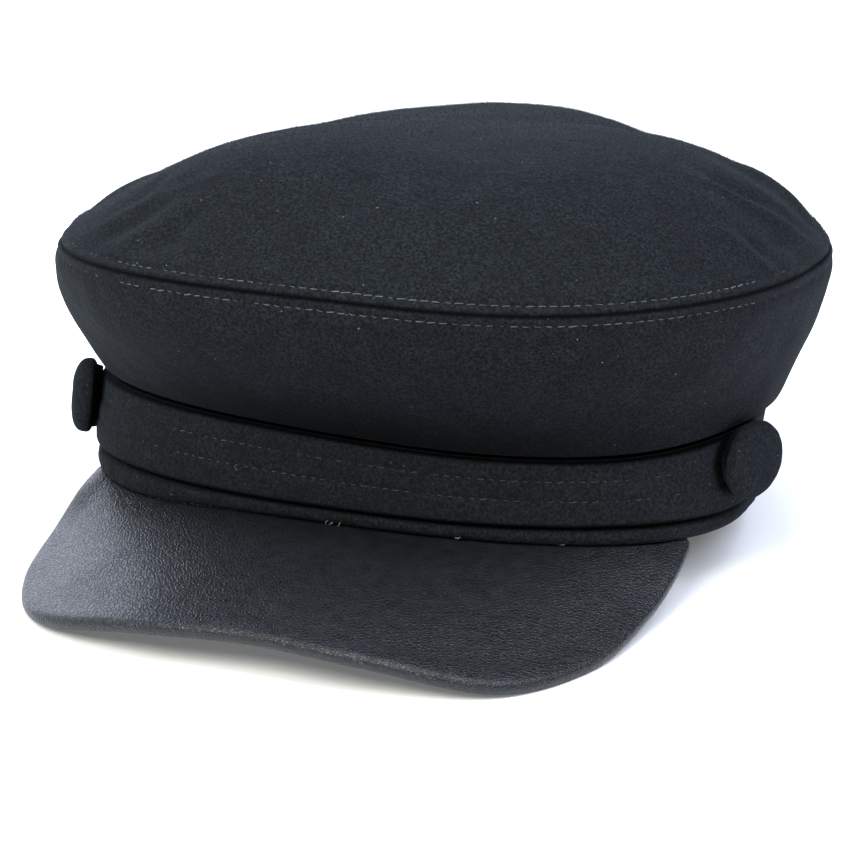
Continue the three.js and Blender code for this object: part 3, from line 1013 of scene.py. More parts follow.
@dataclass(frozen=True)
class FloorFinish:
    """Pale matt tabletop, lit a little from below like a light table."""

    name: str
    tone: Colour = (0.95, 0.955, 0.96)
    drift: float = 0.01
    drift_grain: float = 0.5
    unevenness: float = 0.0001
    bump_strength: float = 0.1
    roughness: float = 0.8
    specular: float = 0.2
    glow: float = 0.15

    def material(self) -> bpy.types.Material:
        """Material of the tabletop, with a barely visible drift of tone.

        Returns:
            The new material.
        """
        material, sheet, place = start_material(self.name)
        drift = noise_node(sheet, place, self.drift_grain, 2.0)
        darker = tuple(channel - self.drift for channel in self.tone)
        tone = blend(sheet, drift.outputs[0], opaque(self.tone), opaque(darker))
        relief = bump(sheet, drift.outputs[0], self.unevenness, strength=self.bump_strength)
        shade(sheet, used_output(tone), relief.outputs[0], self.roughness, self.specular)
        surface = sheet.tree.nodes["Principled BSDF"].inputs
        surface["Emission Color"].default_value = opaque(self.tone)
        surface["Emission Strength"].default_value = self.glow
        return material


def opaque(colour: Colour) -> tuple[float, float, float, float]:
    """Returns a colour with full alpha."""
    return (*colour, 1.0)


def start_material(name: str) -> tuple[bpy.types.Material, NodeSheet, bpy.types.NodeSocket]:
    """Starts a material.

    Args:
        name: Name of the material.

    Returns:
        The material, its node sheet and the output that holds Object coordinates.
    """
    material = bpy.data.materials.new(name)
    material.use_nodes = True
    sheet = NodeSheet(material.node_tree)
    place = sheet.add("ShaderNodeTexCoord").outputs["Object"]
    return material, sheet, place


def noise_node(
    sheet: NodeSheet, place: bpy.types.NodeSocket, grain: float, detail: float, roughness: float = 0.5
) -> bpy.types.Node:
    """Returns a noise of a grain in metres."""
    return sheet.add(
        "ShaderNodeTexNoise", {"Vector": place, "Scale": 1 / grain, "Detail": detail, "Roughness": roughness}
    )


def ranged(
    sheet: NodeSheet, value: bpy.types.NodeSocket, low: float, high: float, first: float = 0.0, last: float = 1.0
) -> bpy.types.Node:
    """Returns a node that maps a value from the range low to high to the range first to last."""
    return sheet.add("ShaderNodeMapRange", {0: value, 1: low, 2: high, 3: first, 4: last})


def product(sheet: NodeSheet, one: bpy.types.NodeSocket, other: bpy.types.NodeSocket | float) -> bpy.types.Node:
    """Returns a node that multiplies two values."""
    return sheet.add("ShaderNodeMath", {0: one, 1: other}, operation="MULTIPLY")


def blend(sheet: NodeSheet, share: bpy.types.NodeSocket, first: object, second: object) -> bpy.types.Node:
    """Returns a node that mixes two colours, each an output or a plain value."""
    return sheet.add("ShaderNodeMix", {"Factor": share, "A": first, "B": second}, data_type="RGBA")


def bump(
    sheet: NodeSheet,
    height: bpy.types.NodeSocket,
    distance: float,
    under: bpy.types.NodeSocket | None = None,
    strength: float = 1.0,
) -> bpy.types.Node:
    """Node that bends the surface by a height.

    Args:
        sheet: Tree that takes the node.
        height: Height from 0 to 1.
        distance: Metres that a height of 1 stands for.
        under: Normal of the bumps beneath.
        strength: Share of the bend.

    Returns:
        The node.
    """
    inputs = {"Height": height, "Distance": distance, "Strength": strength}
    if under is not None:
        inputs["Normal"] = under
    return sheet.add("ShaderNodeBump", inputs)


def shade(
    sheet: NodeSheet,
    colour: bpy.types.NodeSocket,
    normal: bpy.types.NodeSocket,
    roughness: float,
    specular: float,
) -> None:
    """Feeds the surface shader.

    Args:
        sheet: The material's nodes.
        colour: Output that holds the colour.
        normal: Output that holds the bumped normal.
        roughness: Value set on the shader.
        specular: Specular level set on the shader.
    """
    surface = sheet.tree.nodes["Principled BSDF"].inputs
    sheet.tree.links.new(colour, surface["Base Color"])
    sheet.tree.links.new(normal, surface["Normal"])
    surface["Roughness"].default_value = roughness
    surface["Specular IOR Level"].default_value = specular


@dataclass
class Workroom:
    """What every piece is made with: the pose, the finishes and the node trees."""

    pose: RestPose
    crown_wool: bpy.types.Material
    band_wool: bpy.types.Material
    button_wool: bpy.types.Material
    leather: bpy.types.Material
    seam_thread: bpy.types.Material
    strap_thread: bpy.types.Material
    pale_thread: bpy.types.Material
    nap: bpy.types.Material
    stitches: bpy.types.NodeTree
    fibres: bpy.types.NodeTree

    def hand_over(
        self,
        piece: bpy.types.Object,
        material: bpy.types.Material | None = None,
        stands_for: tuple[str, ...] = (),
    ) -> bpy.types.Object:
        """Dresses a finished piece and hands it to the frame.

        Args:
            piece: The piece, in place.
            material: Its finish, or None where it already has one.
            stands_for: Names of the nodes that it replaces.

        Returns:
            The piece.
        """
        if material is not None:
            piece.data.materials.clear()
            piece.data.materials.append(material)
        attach(piece, BODY)
        if stands_for:
            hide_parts(*stands_for)
        corners = np.empty(len(piece.data.vertices) * 3)
        piece.data.vertices.foreach_get("co", corners)
        corners = corners.reshape(-1, 3)
        triangles = sum(len(face.vertices) - 2 for face in piece.data.polygons)
        low, high = np.round(corners.min(0) / MM, 1), np.round(corners.max(0) / MM, 1)
        LOG.info("%s: %d triangles, from %s to %s mm", piece.name, triangles, low, high)
        return piece


# Pieces


@dataclass(frozen=True)
class SeamRelief:
    """How cloth dips into a seam and under the row of stitches beside it, and the painted shade that darkens it
    beside the seam.
    """

    groove_depth: float = 1.9
    groove_width: float = 0.8
    # Width and fade of the painted shade along the seam.
    dark_width: float = 0.75
    dark_fade: float = 0.25
    setback: float = 3.2
    sink_depth: float = 0.28
    sink_width: float = 0.8
    puff: float = 0.35
    puff_width: float = 2.4

    def depth(self, distance: Points) -> Points:
        """Depth of the cloth below its smooth face.

        Args:
            distance: Distances from the seam.

        Returns:
            The depth at each distance.
        """
        groove = self.groove_depth * hump(distance, self.groove_width)
        sink = self.sink_depth * hump(distance - self.setback, self.sink_width)
        return groove + sink - self.puff * hump(distance - 2 * self.setback, self.puff_width)

    def painted_shade(self, distance: Points) -> Points:
        """Returns the painted shade beside the seam, from 0 to 1, at distances from it."""
        return painted_shade_near(distance, self.dark_width, self.dark_fade)


@dataclass(frozen=True)
class Swell:
    """One layer of soft unevenness in cloth."""

    grain: float
    height: float
    seed: float


def swells_on(points: Points, layers: tuple[Swell, ...]) -> Points:
    """Returns the summed height of the layers at points."""
    return sum(layer.height * ripple(points, layer.grain, layer.seed) for layer in layers)


@dataclass(frozen=True)
class Fold:
    """A soft ridge on the top panel, or a groove where its height is below 0.

    The knots of its line are bearings in degrees and shares of the way from the apex to the seam.
    """

    line: tuple[tuple[float, float], ...]
    width: float
    height: float
    steps: int = 40
    curve_steps: int = 20
    end_fade: float = 0.7

    def lift(self, form: CrownForm, plan: Points) -> Points:
        """Lift of the cloth by the fold.

        Args:
            form: Form of the crown that the fold lies on.
            plan: Places in plan, with the coordinates last.

        Returns:
            How far each place is lifted.
        """
        knots = [form.top_plan(np.radians(bearing), np.float64(share)) for bearing, share in self.line]
        track = even_curve(np.array(knots), self.curve_steps, self.steps)
        away = np.linalg.norm(plan[..., None, :] - track, axis=-1)
        nearest = away.argmin(axis=-1)
        fade = np.sin(math.pi * (nearest + 0.5) / self.steps) ** self.end_fade
        return self.height * fade * hump(away.min(axis=-1), self.width)


@dataclass
class CrownPanel:
    """What the two panels of the crown share: their form, their seam and the rows of points beside it."""

    form: CrownForm = field(default_factory=CrownForm)
    relief: SeamRelief = field(default_factory=SeamRelief)
    round_steps: int = 500
    search_steps: int = 240
    seam_gap: float = 0.12
    seam_rows: tuple[float, ...] = (
        0.0, 0.25, 0.5, 0.8, 1.1, 1.5, 2.0, 2.5, 3.0, 3.5, 4.0, 4.6, 5.3, 6.1, 7.0, 8.2
    )
    inner_reach: float = 0.97
    nap_round: int = 240
    stitch_probe: float = 0.3

    def surface(self, bearing: Points, share: Points) -> Points:
        """Returns the panel's smooth face at bearings and shares of the way to the seam."""
        raise NotImplementedError

    def face(self, bearing: Points, distance: Points) -> tuple[Points, Points]:
        """Returns the finished outer face at distances from the seam, and the directions out of it."""
        raise NotImplementedError

    def bearings(self, count: int) -> Points:
        """Returns a number of even bearings once round."""
        return np.linspace(0, 2 * math.pi, count, endpoint=False)

    def measured(self, bearing: Points) -> tuple[Points, Points]:
        """Returns shares falling from the seam, and the distance from the seam at each of them."""
        shares = np.linspace(1, 0, self.search_steps)
        return shares, arc_lengths(self.surface(bearing[:, None], shares[None, :]))

    def shares_at(self, bearing: Points, distance: Points) -> tuple[Points, Points]:
        """Shares of the way across the panel at distances from the seam.

        Args:
            bearing: Bearings in radians.
            distance: Distances from the seam, one row for each bearing.

        Returns:
            The share at each distance, and the whole length at each bearing.
        """
        shares, lengths = self.measured(bearing)
        way = [np.interp(distance[row], lengths[row], shares) for row in range(len(bearing))]
        return np.stack(way), lengths[:, -1:]

    def full_length(self, bearing: Points) -> Points:
        """Returns the distance from the seam to the panel's other edge or middle at bearings."""
        return self.measured(bearing)[1][:, -1:]

    def near_rows(self, bearing: Points) -> Points:
        """Returns the distances from the seam of the close rows beside it."""
        near = np.array(self.seam_rows) + self.seam_gap
        return np.broadcast_to(near, (len(bearing), len(near)))

    def seam_line(self, steps: int) -> tuple[Points, Points]:
        """Line of the stitches beside the seam.

        Args:
            steps: Number of points once round.

        Returns:
            The points, and the directions out of the cloth there.
        """
        near = self.relief.setback + np.array([-self.stitch_probe, 0.0, self.stitch_probe])
        points, normals = self.face(self.bearings(steps), np.broadcast_to(near, (steps, 3)))
        return points[:, 1], normals[:, 1]


@dataclass
class TopPanel(CrownPanel):
    """The stuffed oval top of the crown."""

    even_rows: int = 58
    inner_rows: int = 14
    soft_edge: float = 10.0
    fold_edge: float = 2.0
    layers: tuple[Swell, ...] = (Swell(46.0, 1.0, 3.1), Swell(19.0, 0.45, 11.7), Swell(7.0, 0.14, 23.9))
    folds: tuple[Fold, ...] = (
        Fold(((74.5, 0.70), (79.0, 0.78), (85.5, 0.87), (93.0, 0.95)), 1.8, 1.0),
        Fold(((79.0, 0.66), (82.3, 0.777), (87.7, 0.843), (93.8, 0.925), (98.5, 0.96)), 2.6, -1.2),
        Fold(((66.8, 0.84), (69.5, 0.915), (72.8, 0.965)), 1.8, 0.7),
        Fold(((71.0, 0.85), (74.0, 0.92), (77.0, 0.975)), 3.0, -1.3),
        Fold(((-48.5, 0.96), (-46.7, 0.922), (-42.5, 0.84), (-38.5, 0.785), (-33.2, 0.728)), 2.4, 0.7),
        Fold(((-49.7, 0.92), (-46.5, 0.843), (-48.2, 0.79), (-47.0, 0.725)), 4.0, -0.8),
        Fold(((-38.5, 0.975), (-36.8, 0.932), (-34.5, 0.905), (-31.0, 0.86)), 2.0, 0.5),
        Fold(((-42.5, 0.975), (-42.2, 0.925), (-39.7, 0.895), (-36.0, 0.84)), 2.4, -0.7),
        Fold(((-26.7, 0.968), (-24.2, 0.932), (-21.2, 0.905), (-19.0, 0.85)), 2.4, 0.5),
        Fold(((-31.0, 0.95), (-29.0, 0.885), (-29.2, 0.843), (-28.0, 0.80)), 3.0, -0.7),
        Fold(((-24.0, 0.70), (-18.2, 0.638), (-11.8, 0.60), (-2.0, 0.58)), 4.0, 0.5),
        Fold(((103.0, 0.72), (104.0, 0.80), (105.0, 0.88), (106.0, 0.94)), 7.0, 1.8),
        Fold(((-65.0, 0.78), (-65.0, 0.86), (-66.0, 0.93)), 4.5, 1.1),
    )

    def surface(self, bearing: Points, share: Points) -> Points:
        """Returns the panel's smooth face, from the apex at share 0 to the seam at share 1."""
        return self.form.top(bearing, share)

    def face(self, bearing: Points, distance: Points) -> tuple[Points, Points]:
        """Finished outer face at distances in from the seam.

        Args:
            bearing: Bearings in radians, once round the cap.
            distance: Distances in millimetres, of shape (bearings, rows).

        Returns:
            Points and outward directions, each of shape (bearings, rows, 3).
        """
        way, _ = self.shares_at(bearing, distance)
        base = self.surface(bearing[:, None], way)
        normals = grid_normals(base, self.form.centre)
        normals[way < 1e-4] = UP
        soft = smooth_step(distance / self.soft_edge) * swells_on(base, self.layers)
        folded = sum(fold.lift(self.form, base[..., :2]) for fold in self.folds)
        soft = soft + smooth_step(distance / self.fold_edge) * folded
        return base + normals * (soft - self.relief.depth(distance))[..., None], normals

    def rows(self, bearing: Points) -> Points:
        """Distances of the rows of points from the seam, close together beside it.

        Args:
            bearing: Bearings in radians.

        Returns:
            The distances, one row for each bearing.
        """
        near = self.near_rows(bearing)
        ways = np.linspace(0, 1, self.even_rows + 1)[1:]
        return np.concatenate([near, mix(near[:, -1:], self.full_length(bearing), ways)], axis=1)

    def build(self, room: Workroom) -> bpy.types.Object:
        """Builds the panel as one closed body of cloth.

        Args:
            room: What it is made with.

        Returns:
            The piece.
        """
        bearing = self.bearings(self.round_steps)
        rows = self.rows(bearing)
        outer, _ = self.face(bearing, rows)
        shares = np.linspace(self.inner_reach, 0, self.inner_rows)
        under = self.surface(bearing[:, None], shares[None, :])
        normals = grid_normals(under, self.form.centre)
        normals[:, -1] = UP
        under = under - normals * self.form.wall
        sections = np.concatenate([outer[:, ::-1], under], axis=1)
        # Painted shade darkens the outer face beside the seam; the underside takes none.
        painted_shade = np.concatenate([self.relief.painted_shade(rows)[:, ::-1], np.zeros(under.shape[:2])], axis=1)
        piece = body_through("top_panel", room.pose.place(sections), Ends.POLES, painted_shade)
        return room.hand_over(piece, room.crown_wool, ("crown_tip",))

    def cover(self) -> tuple[Points, Points]:
        """Plain grid of the outer face, which the nap grows on.

        Returns:
            The points of the grid, and the painted shade at each of them.
        """
        bearing = self.bearings(self.nap_round)
        rows = self.rows(bearing)[:, len(self.seam_rows) // 2:]
        return self.face(bearing, rows)[0], self.relief.painted_shade(rows)


@dataclass
class SidePanel(CrownPanel):
    """The flared side of the crown, which rolls over the top of the band."""

    even_rows: int = 34
    inner_rows: int = 10
    soft_edge: float = 9.0
    tuck: float = 1.7
    tuck_width: float = 1.6
    # Painted shade: a dark strip at the foot, and a darkening of the lower front over the strap that stands in
    # for the shade there.
    dark_height: float = 1.3
    dark_fade: float = 0.8
    shade_height: float = 30.0
    shade: float = 0.92
    shade_spread: float = 66.0
    nap_margin: float = 2.2
    foot_rows: tuple[float, ...] = (0.0, 0.3, 0.6, 1.0, 1.5, 2.1, 2.8, 3.7, 4.8)
    layers: tuple[Swell, ...] = (Swell(40.0, 0.9, 5.3), Swell(16.0, 0.35, 17.1), Swell(6.5, 0.12, 31.7))

    def surface(self, bearing: Points, share: Points) -> Points:
        """Returns the panel's smooth face, from its foot at share 0 to the seam at share 1."""
        return self.form.side(bearing, share)

    def face(self, bearing: Points, distance: Points) -> tuple[Points, Points]:
        """Finished outer face at distances down from the seam.

        Args:
            bearing: Bearings in radians, once round the cap.
            distance: Distances in millimetres, of shape (bearings, rows).

        Returns:
            Points and outward directions, each of shape (bearings, rows, 3).
        """
        way, full = self.shares_at(bearing, distance)
        base = self.surface(bearing[:, None], way)
        normals = grid_normals(base, self.form.centre)
        from_foot = full - distance
        soft = smooth_step(distance / self.soft_edge) * smooth_step(from_foot / self.soft_edge)
        lifted = soft * swells_on(base, self.layers) - self.relief.depth(distance)
        level = self.form.band.outward(bearing, np.ones_like(bearing))[:, None]
        tuck = self.tuck * hump(from_foot, self.tuck_width)
        return base + normals * lifted[..., None] - level * tuck[..., None], normals

    def build(self, room: Workroom) -> bpy.types.Object:
        """Builds the panel as one closed band of cloth.

        Args:
            room: What it is made with.

        Returns:
            The piece.
        """
        form = self.form
        bearing = self.bearings(self.round_steps)
        full = self.full_length(bearing)
        near = self.near_rows(bearing)
        low = full - np.array(self.foot_rows)[::-1]
        ways = np.linspace(0, 1, self.even_rows + 1)[1:-1]
        rows = np.concatenate([near, mix(near[:, -1:], low[:, :1], ways), low], axis=1)
        outer, _ = self.face(bearing, rows)
        shares = np.linspace(0.0, self.inner_reach, self.inner_rows)
        inner = self.surface(bearing[:, None], shares[None, :])
        inner = inner - grid_normals(inner, form.centre) * form.wall
        foot_height = form.band.top(bearing) + form.foot_gap
        inner[:, 0] = form.band.point(bearing, form.foot_overhang - form.wall, foot_height)
        sections = np.concatenate([outer, inner], axis=1)
        # Painted shade on the outer face only.
        painted_shade = np.concatenate([self.painted_shade(bearing, rows, full), np.zeros(inner.shape[:2])], axis=1)
        piece = body_through("side_panel", room.pose.place(sections), Ends.LOOP, painted_shade)
        return room.hand_over(piece, room.crown_wool, ("crown_side",))

    def cover(self) -> tuple[Points, Points]:
        """Plain grid of the outer face, which the nap grows on.

        Returns:
            The points of the grid, and the painted shade at each of them.
        """
        bearing = self.bearings(self.nap_round)
        full = self.full_length(bearing)
        rows = mix(self.nap_margin, full - self.nap_margin, np.linspace(0, 1, self.even_rows))
        return self.face(bearing, rows)[0], self.painted_shade(bearing, rows, full)

    def painted_shade(self, bearing: Points, rows: Points, full: Points) -> Points:
        """Painted shade on the outer face: beside the seam, at the foot, and a darkening of the lower front over
        the strap that stands in for its shade.

        Args:
            bearing: Bearings in radians.
            rows: Distances down from the seam, of shape (bearings, rows).
            full: Distance from the seam to the foot at each bearing.

        Returns:
            Values from 0 to 1, in the shape of rows.
        """
        from_foot = full - rows
        painted_foot_shade = painted_shade_near(from_foot, self.dark_height, self.dark_fade)
        painted_dark = np.maximum(self.relief.painted_shade(rows), painted_foot_shade)
        shade = self.shade * smooth_step(1 - from_foot / self.shade_height)
        return np.maximum(painted_dark, shade * fading(bearing, 0.0, self.shade_spread)[:, None])


@dataclass
class Headband:
    """The upright band, with its lower edge folded up into a thick hem."""

    form: BandForm = field(default_factory=BandForm)
    round_steps: int = 420
    hem_steps: int = 14
    hem_start: float = 0.25
    hem_turn: float = 1.06
    hem_fullness: float = 0.55
    hem_close: float = 1.04
    hem_close_width: float = 0.12
    crease_depth: float = 0.5
    crease_width: float = 1.2
    wall_rows: int = 10
    inner_rows: int = 4
    # Share of the hem's turn from which its inner fold is darkened by painted shade.
    dark_turn: float = 0.66
    layers: tuple[Swell, ...] = (Swell(9.0, 0.5, 7.7), Swell(3.5, 0.3, 19.3))

    def build(self, room: Workroom) -> bpy.types.Object:
        """Builds the band as one closed ring of cloth.

        Args:
            room: What it is made with.

        Returns:
            The piece.
        """
        bearing = np.linspace(0, 2 * math.pi, self.round_steps, endpoint=False)[:, None]
        rim, fold, top = self.form.rim(bearing), self.form.hem_top(bearing), self.form.top(bearing)
        turn = np.linspace(0, 1, self.hem_steps)[None, :]
        swell = np.sin(math.pi * np.clip(turn * self.hem_turn, 0, 1)) ** self.hem_fullness
        closing = smooth_step((self.hem_close - turn) / self.hem_close_width)
        out = mix(self.hem_start, 1.0, swell) * self.form.hem_bulge * closing
        hem = self.form.point(bearing, out, mix(rim, fold, turn))
        rise = np.linspace(0, 1, self.wall_rows)[None, 1:]
        crease = -self.crease_depth * hump(rise * (top - fold), self.crease_width)
        wall = self.form.point(bearing, crease, mix(fold, top, rise))
        outer = np.concatenate([hem, wall], axis=1)
        outward = self.form.outward(bearing[:, 0], np.zeros(self.round_steps))[:, None]
        lively = np.concatenate([np.sin(math.pi * turn), np.zeros_like(rise)], axis=1)
        outer = outer + outward * (lively * swells_on(outer, self.layers))[..., None]
        descent = np.linspace(1, 0, self.inner_rows)[None, :]
        inner = self.form.point(bearing, -self.form.wall, mix(rim, top, descent))
        # Painted shade: the inner turn of the hem fold is darkened, and so is the whole front half of the band,
        # which the strap mostly covers.
        fold_shade = smooth_step((turn - self.dark_turn) / (1 - self.dark_turn)) * np.ones_like(bearing)
        shade_behind_strap = (np.cos(bearing) > 0) * np.ones_like(rise)
        painted_shade = np.concatenate([fold_shade, shade_behind_strap, np.zeros(inner.shape[:2])], axis=1)
        sections = room.pose.place(np.concatenate([outer, inner], axis=1))
        piece = body_through("headband_cloth", sections, Ends.LOOP, painted_shade)
        return room.hand_over(piece, room.band_wool, ("headband",))


@dataclass
class FrontStrap:
    """The folded strap across the front, with two rows of stitches."""

    form: BandForm = field(default_factory=BandForm)
    left_button: float = 82.5
    left_lift: float = 4.0
    right_button: float = 77.5
    right_lift: float = 2.0
    end_reach: float = 13.0
    end_round: float = 6.0
    seat_gap: float = 0.3
    thickness: float = 2.7
    edge_round: float = 1.25
    steps: int = 420
    face_rows: int = 40
    edge_rows: int = 7
    back_rows: int = 5
    puff: float = 0.35
    stitch_shares: tuple[float, ...] = (0.70, 0.40)
    stitch_sink: float = 0.3
    stitch_width: float = 0.75
    stitch_left_end: float = 71.0
    stitch_right_end: float = -55.0
    # Painted shade along the strap's two edges, and a painted shadow round each button.
    dark_edge: float = 0.3
    dark_fade: float = 0.6
    button_shadow: float = 10.0
    button_shadow_fade: float = 1.0
    layers: tuple[Swell, ...] = (Swell(24.0, 0.35, 13.1), Swell(9.0, 0.16, 29.9))

    def end(self, button: float) -> float:
        """Bearing of the strap's end past a button.

        Args:
            button: Bearing of the button in degrees.

        Returns:
            The bearing of the end in radians.
        """
        bearing = math.radians(button)
        reach = float(np.linalg.norm(self.form.face(bearing, np.float64(0.5))))
        return bearing + self.end_reach / reach

    def low(self, bearing: Points) -> Points:
        """Returns the height of the lower edge."""
        return self.form.hem_top(bearing) + self.seat_gap

    def face(self, bearing: Points, share: Points) -> tuple[Points, Points]:
        """Finished outer face.

        Args:
            bearing: Bearings in radians.
            share: Shares of the way from the lower to the upper edge.

        Returns:
            Points and level directions out of the strap.
        """
        bearing, share = np.broadcast_arrays(bearing, share)
        low, high = self.low(bearing), self.form.top(bearing)
        height = mix(low, high, share)
        out = self.seat_gap + self.thickness + self.puff * np.sin(math.pi * share)
        for row in self.stitch_shares:
            out = out - self.stitch_sink * hump((share - row) * (high - low), self.stitch_width)
        points = self.form.point(bearing, out, height)
        outward = self.form.outward(bearing, share)
        soft = np.sin(math.pi * np.clip(share, 0, 1)) * swells_on(points, self.layers)
        return points + outward * soft[..., None], outward

    def build(self, room: Workroom) -> bpy.types.Object:
        """Builds the strap as one closed body.

        Args:
            room: What it is made with.

        Returns:
            The piece.
        """
        left, right = self.end(self.left_button), self.end(self.right_button)
        bearing = np.linspace(-right, left, self.steps)[:, None]
        low, high = self.low(bearing), self.form.top(bearing)
        reach = np.linalg.norm(self.form.face(bearing, np.full_like(bearing, 0.5)), axis=-1)
        from_end = np.minimum(left - bearing, bearing + right) * reach
        corner = self.end_round * np.maximum(0, 1 - from_end / self.end_round) ** 2 / 2
        edge = self.edge_round / (high - low)
        shares = mix(edge, 1 - edge, np.linspace(1, 0, self.face_rows)[None, :])
        held = corner / (high - low)
        face, _ = self.face(bearing, mix(held, 1 - held, shares))
        turn = np.linspace(0, math.pi / 2, self.edge_rows)[None, :]
        outer = self.seat_gap + self.thickness
        low, high = low + corner, high - corner
        fall, draw_in = self.edge_round * (1 - np.sin(turn)), self.edge_round * (1 - np.cos(turn))
        upper = self.form.point(bearing, outer - fall, high - draw_in)[:, :-1]
        lower = self.form.point(bearing, outer - draw_in, low + fall)[:, 1:]
        climb = np.linspace(0, 1, self.back_rows)[None, :]
        back = self.form.point(bearing, self.seat_gap, mix(low, high, climb))
        sections = np.concatenate([upper, face, lower, back], axis=1)
        painted_shade = self.painted_shade(bearing, sections[..., 2], reach, low, high)
        piece = body_through("strap", room.pose.place(sections), Ends.FLAT, painted_shade)
        return room.hand_over(piece, room.band_wool, ("front_strap",))

    def painted_shade(self, bearing: Points, height: Points, reach: Points, low: Points, high: Points) -> Points:
        """Painted shade along the two edges, and a painted shadow under and round the buttons.

        Args:
            bearing: Bearings in radians, one to a section.
            height: Height of each point, sections first.
            reach: Distance of each section from the middle of the band.
            low: Height of the lower edge.
            high: Height of the upper edge.

        Returns:
            Values from 0 to 1, in the shape of height.
        """
        edge = painted_shade_near(np.minimum(height - low, high - height), self.dark_edge, self.dark_fade)
        buttons = ((self.left_button, self.left_lift), (-self.right_button, self.right_lift))
        for button, lift in buttons:
            along = (bearing - math.radians(button)) * reach
            away = np.hypot(along, height - (low + high) / 2 - lift)
            edge = np.maximum(edge, painted_shade_near(away, self.button_shadow, self.button_shadow_fade))
        return edge

    def stitch_line(self, share: float, steps: int) -> tuple[Points, Points]:
        """Returns the line of a row of stitches, and the directions out of the cloth there."""
        ends = math.radians(self.stitch_right_end), math.radians(self.stitch_left_end)
        return self.face(np.linspace(*ends, steps), np.full(steps, share))


@dataclass
class CoveredButton:
    """A domed button drawn over with cloth."""

    name: str
    node: str
    bearing: float
    lift: float
    turn: float
    strap: FrontStrap
    diameter: float = 22.0
    thickness: float = 7.8
    back_diameter: float = 18.0
    seat_gap: float = 0.3
    back_fill: float = 0.8
    # Painted shade darkens the button's back and the foot of its wall, where it sits on the strap.
    dark_back: float = 1.4
    dark_fade: float = 1.0
    round_steps: int = 96
    profile_steps: int = 30
    profile_start: float = -0.62
    waist_share: float = 0.36
    squareness: float = 2.6
    gathers: int = 17
    gather_depth: float = 0.12
    gather_band: float = 0.35
    gather_drift: float = 0.8
    swell_shift: float = 50.0
    layers: tuple[Swell, ...] = (Swell(8.0, 0.3, 37.3), Swell(3.0, 0.1, 41.9))

    def build(self, room: Workroom) -> bpy.types.Object:
        """Builds the button as one closed body, its axis turned a little to the front.

        Args:
            room: What it is made with.

        Returns:
            The piece.
        """
        way = np.linspace(0, 1, self.profile_steps)
        angle = mix(self.profile_start, math.pi / 2, way)
        power = 2 / self.squareness
        out = np.abs(np.cos(angle)) ** power * self.diameter / 2
        waist = self.thickness * self.waist_share
        reach = np.where(angle < 0, waist, self.thickness - waist)
        up = np.maximum(waist + np.sign(np.sin(angle)) * np.abs(np.sin(angle)) ** power * reach, 0)
        out = np.concatenate([[0.0, self.back_diameter / 2], out])
        up = np.concatenate([[-self.back_fill, -self.back_fill], up])
        turn = np.linspace(0, 2 * math.pi, self.round_steps, endpoint=False)[:, None]
        rim = hump(up - waist, self.gather_band * self.thickness)
        drift = self.gather_drift * np.sin(3 * turn)
        pleat = self.gather_depth * rim * np.cos(self.gathers * turn + drift)
        radius = np.where(out > 0.01, out + pleat, 0)
        height = np.broadcast_to(up, radius.shape)
        local = np.stack([radius * np.cos(turn), radius * np.sin(turn), height], axis=-1)
        swells = swells_on(local + self.swell_shift * len(self.name), self.layers)
        local = local + np.array(UP) * (height / self.thickness * swells)[..., None]
        # Painted shade towards the back of the button.
        painted_shade = painted_shade_near(np.maximum(height, 0.0), self.dark_back, self.dark_fade)
        piece = body_through(self.name, room.pose.place(self.seated(local)), Ends.POLES, painted_shade)
        return room.hand_over(piece, room.button_wool, (self.node,))

    def seated(self, local: Points) -> Points:
        """Sets points of the button's own frame on the strap.

        Args:
            local: Points with the button's back on the plane z = 0.

        Returns:
            The points on the strap.
        """
        bearing = np.array([math.radians(self.bearing)])
        step = 1e-3
        form, strap = self.strap.form, self.strap

        def strap_point(turn: float, share: float) -> Points:
            """Point of the plain outer face of the strap.

            Args:
                turn: Bearing from the button's middle, in radians.
                share: Share of the way up the strap.

            Returns:
                The point.
            """
            at = bearing + turn
            height = mix(strap.low(at), form.top(at), share)
            return form.point(at, strap.seat_gap + strap.thickness, height)[0]

        share = 0.5 + self.lift / float((form.top(bearing) - strap.low(bearing))[0])
        across = unit(strap_point(step, share) - strap_point(-step, share))
        rise = unit(strap_point(0, share + step) - strap_point(0, share - step))
        axis = unit(np.cross(rise, across))
        seat = strap_point(0, share)
        if axis @ seat < 0:
            axis = -axis
        stand_off = self.seat_gap + math.sin(math.radians(self.turn)) * self.back_diameter / 2
        seat = seat + axis * stand_off
        swing = Matrix.Rotation(-math.copysign(math.radians(self.turn), self.bearing), 3, "Z")
        axis = np.array(swing @ Vector(axis))
        across = unit(across - axis * (across @ axis))
        upright = np.cross(axis, across)
        return seat + local[..., :1] * across + local[..., 1:2] * upright + local[..., 2:] * axis


@dataclass(frozen=True)
class OutlinePoint:
    """A point of the peak's outline, as shares of its half span, its reach and its droop."""

    across: float
    forward: float
    droop: float


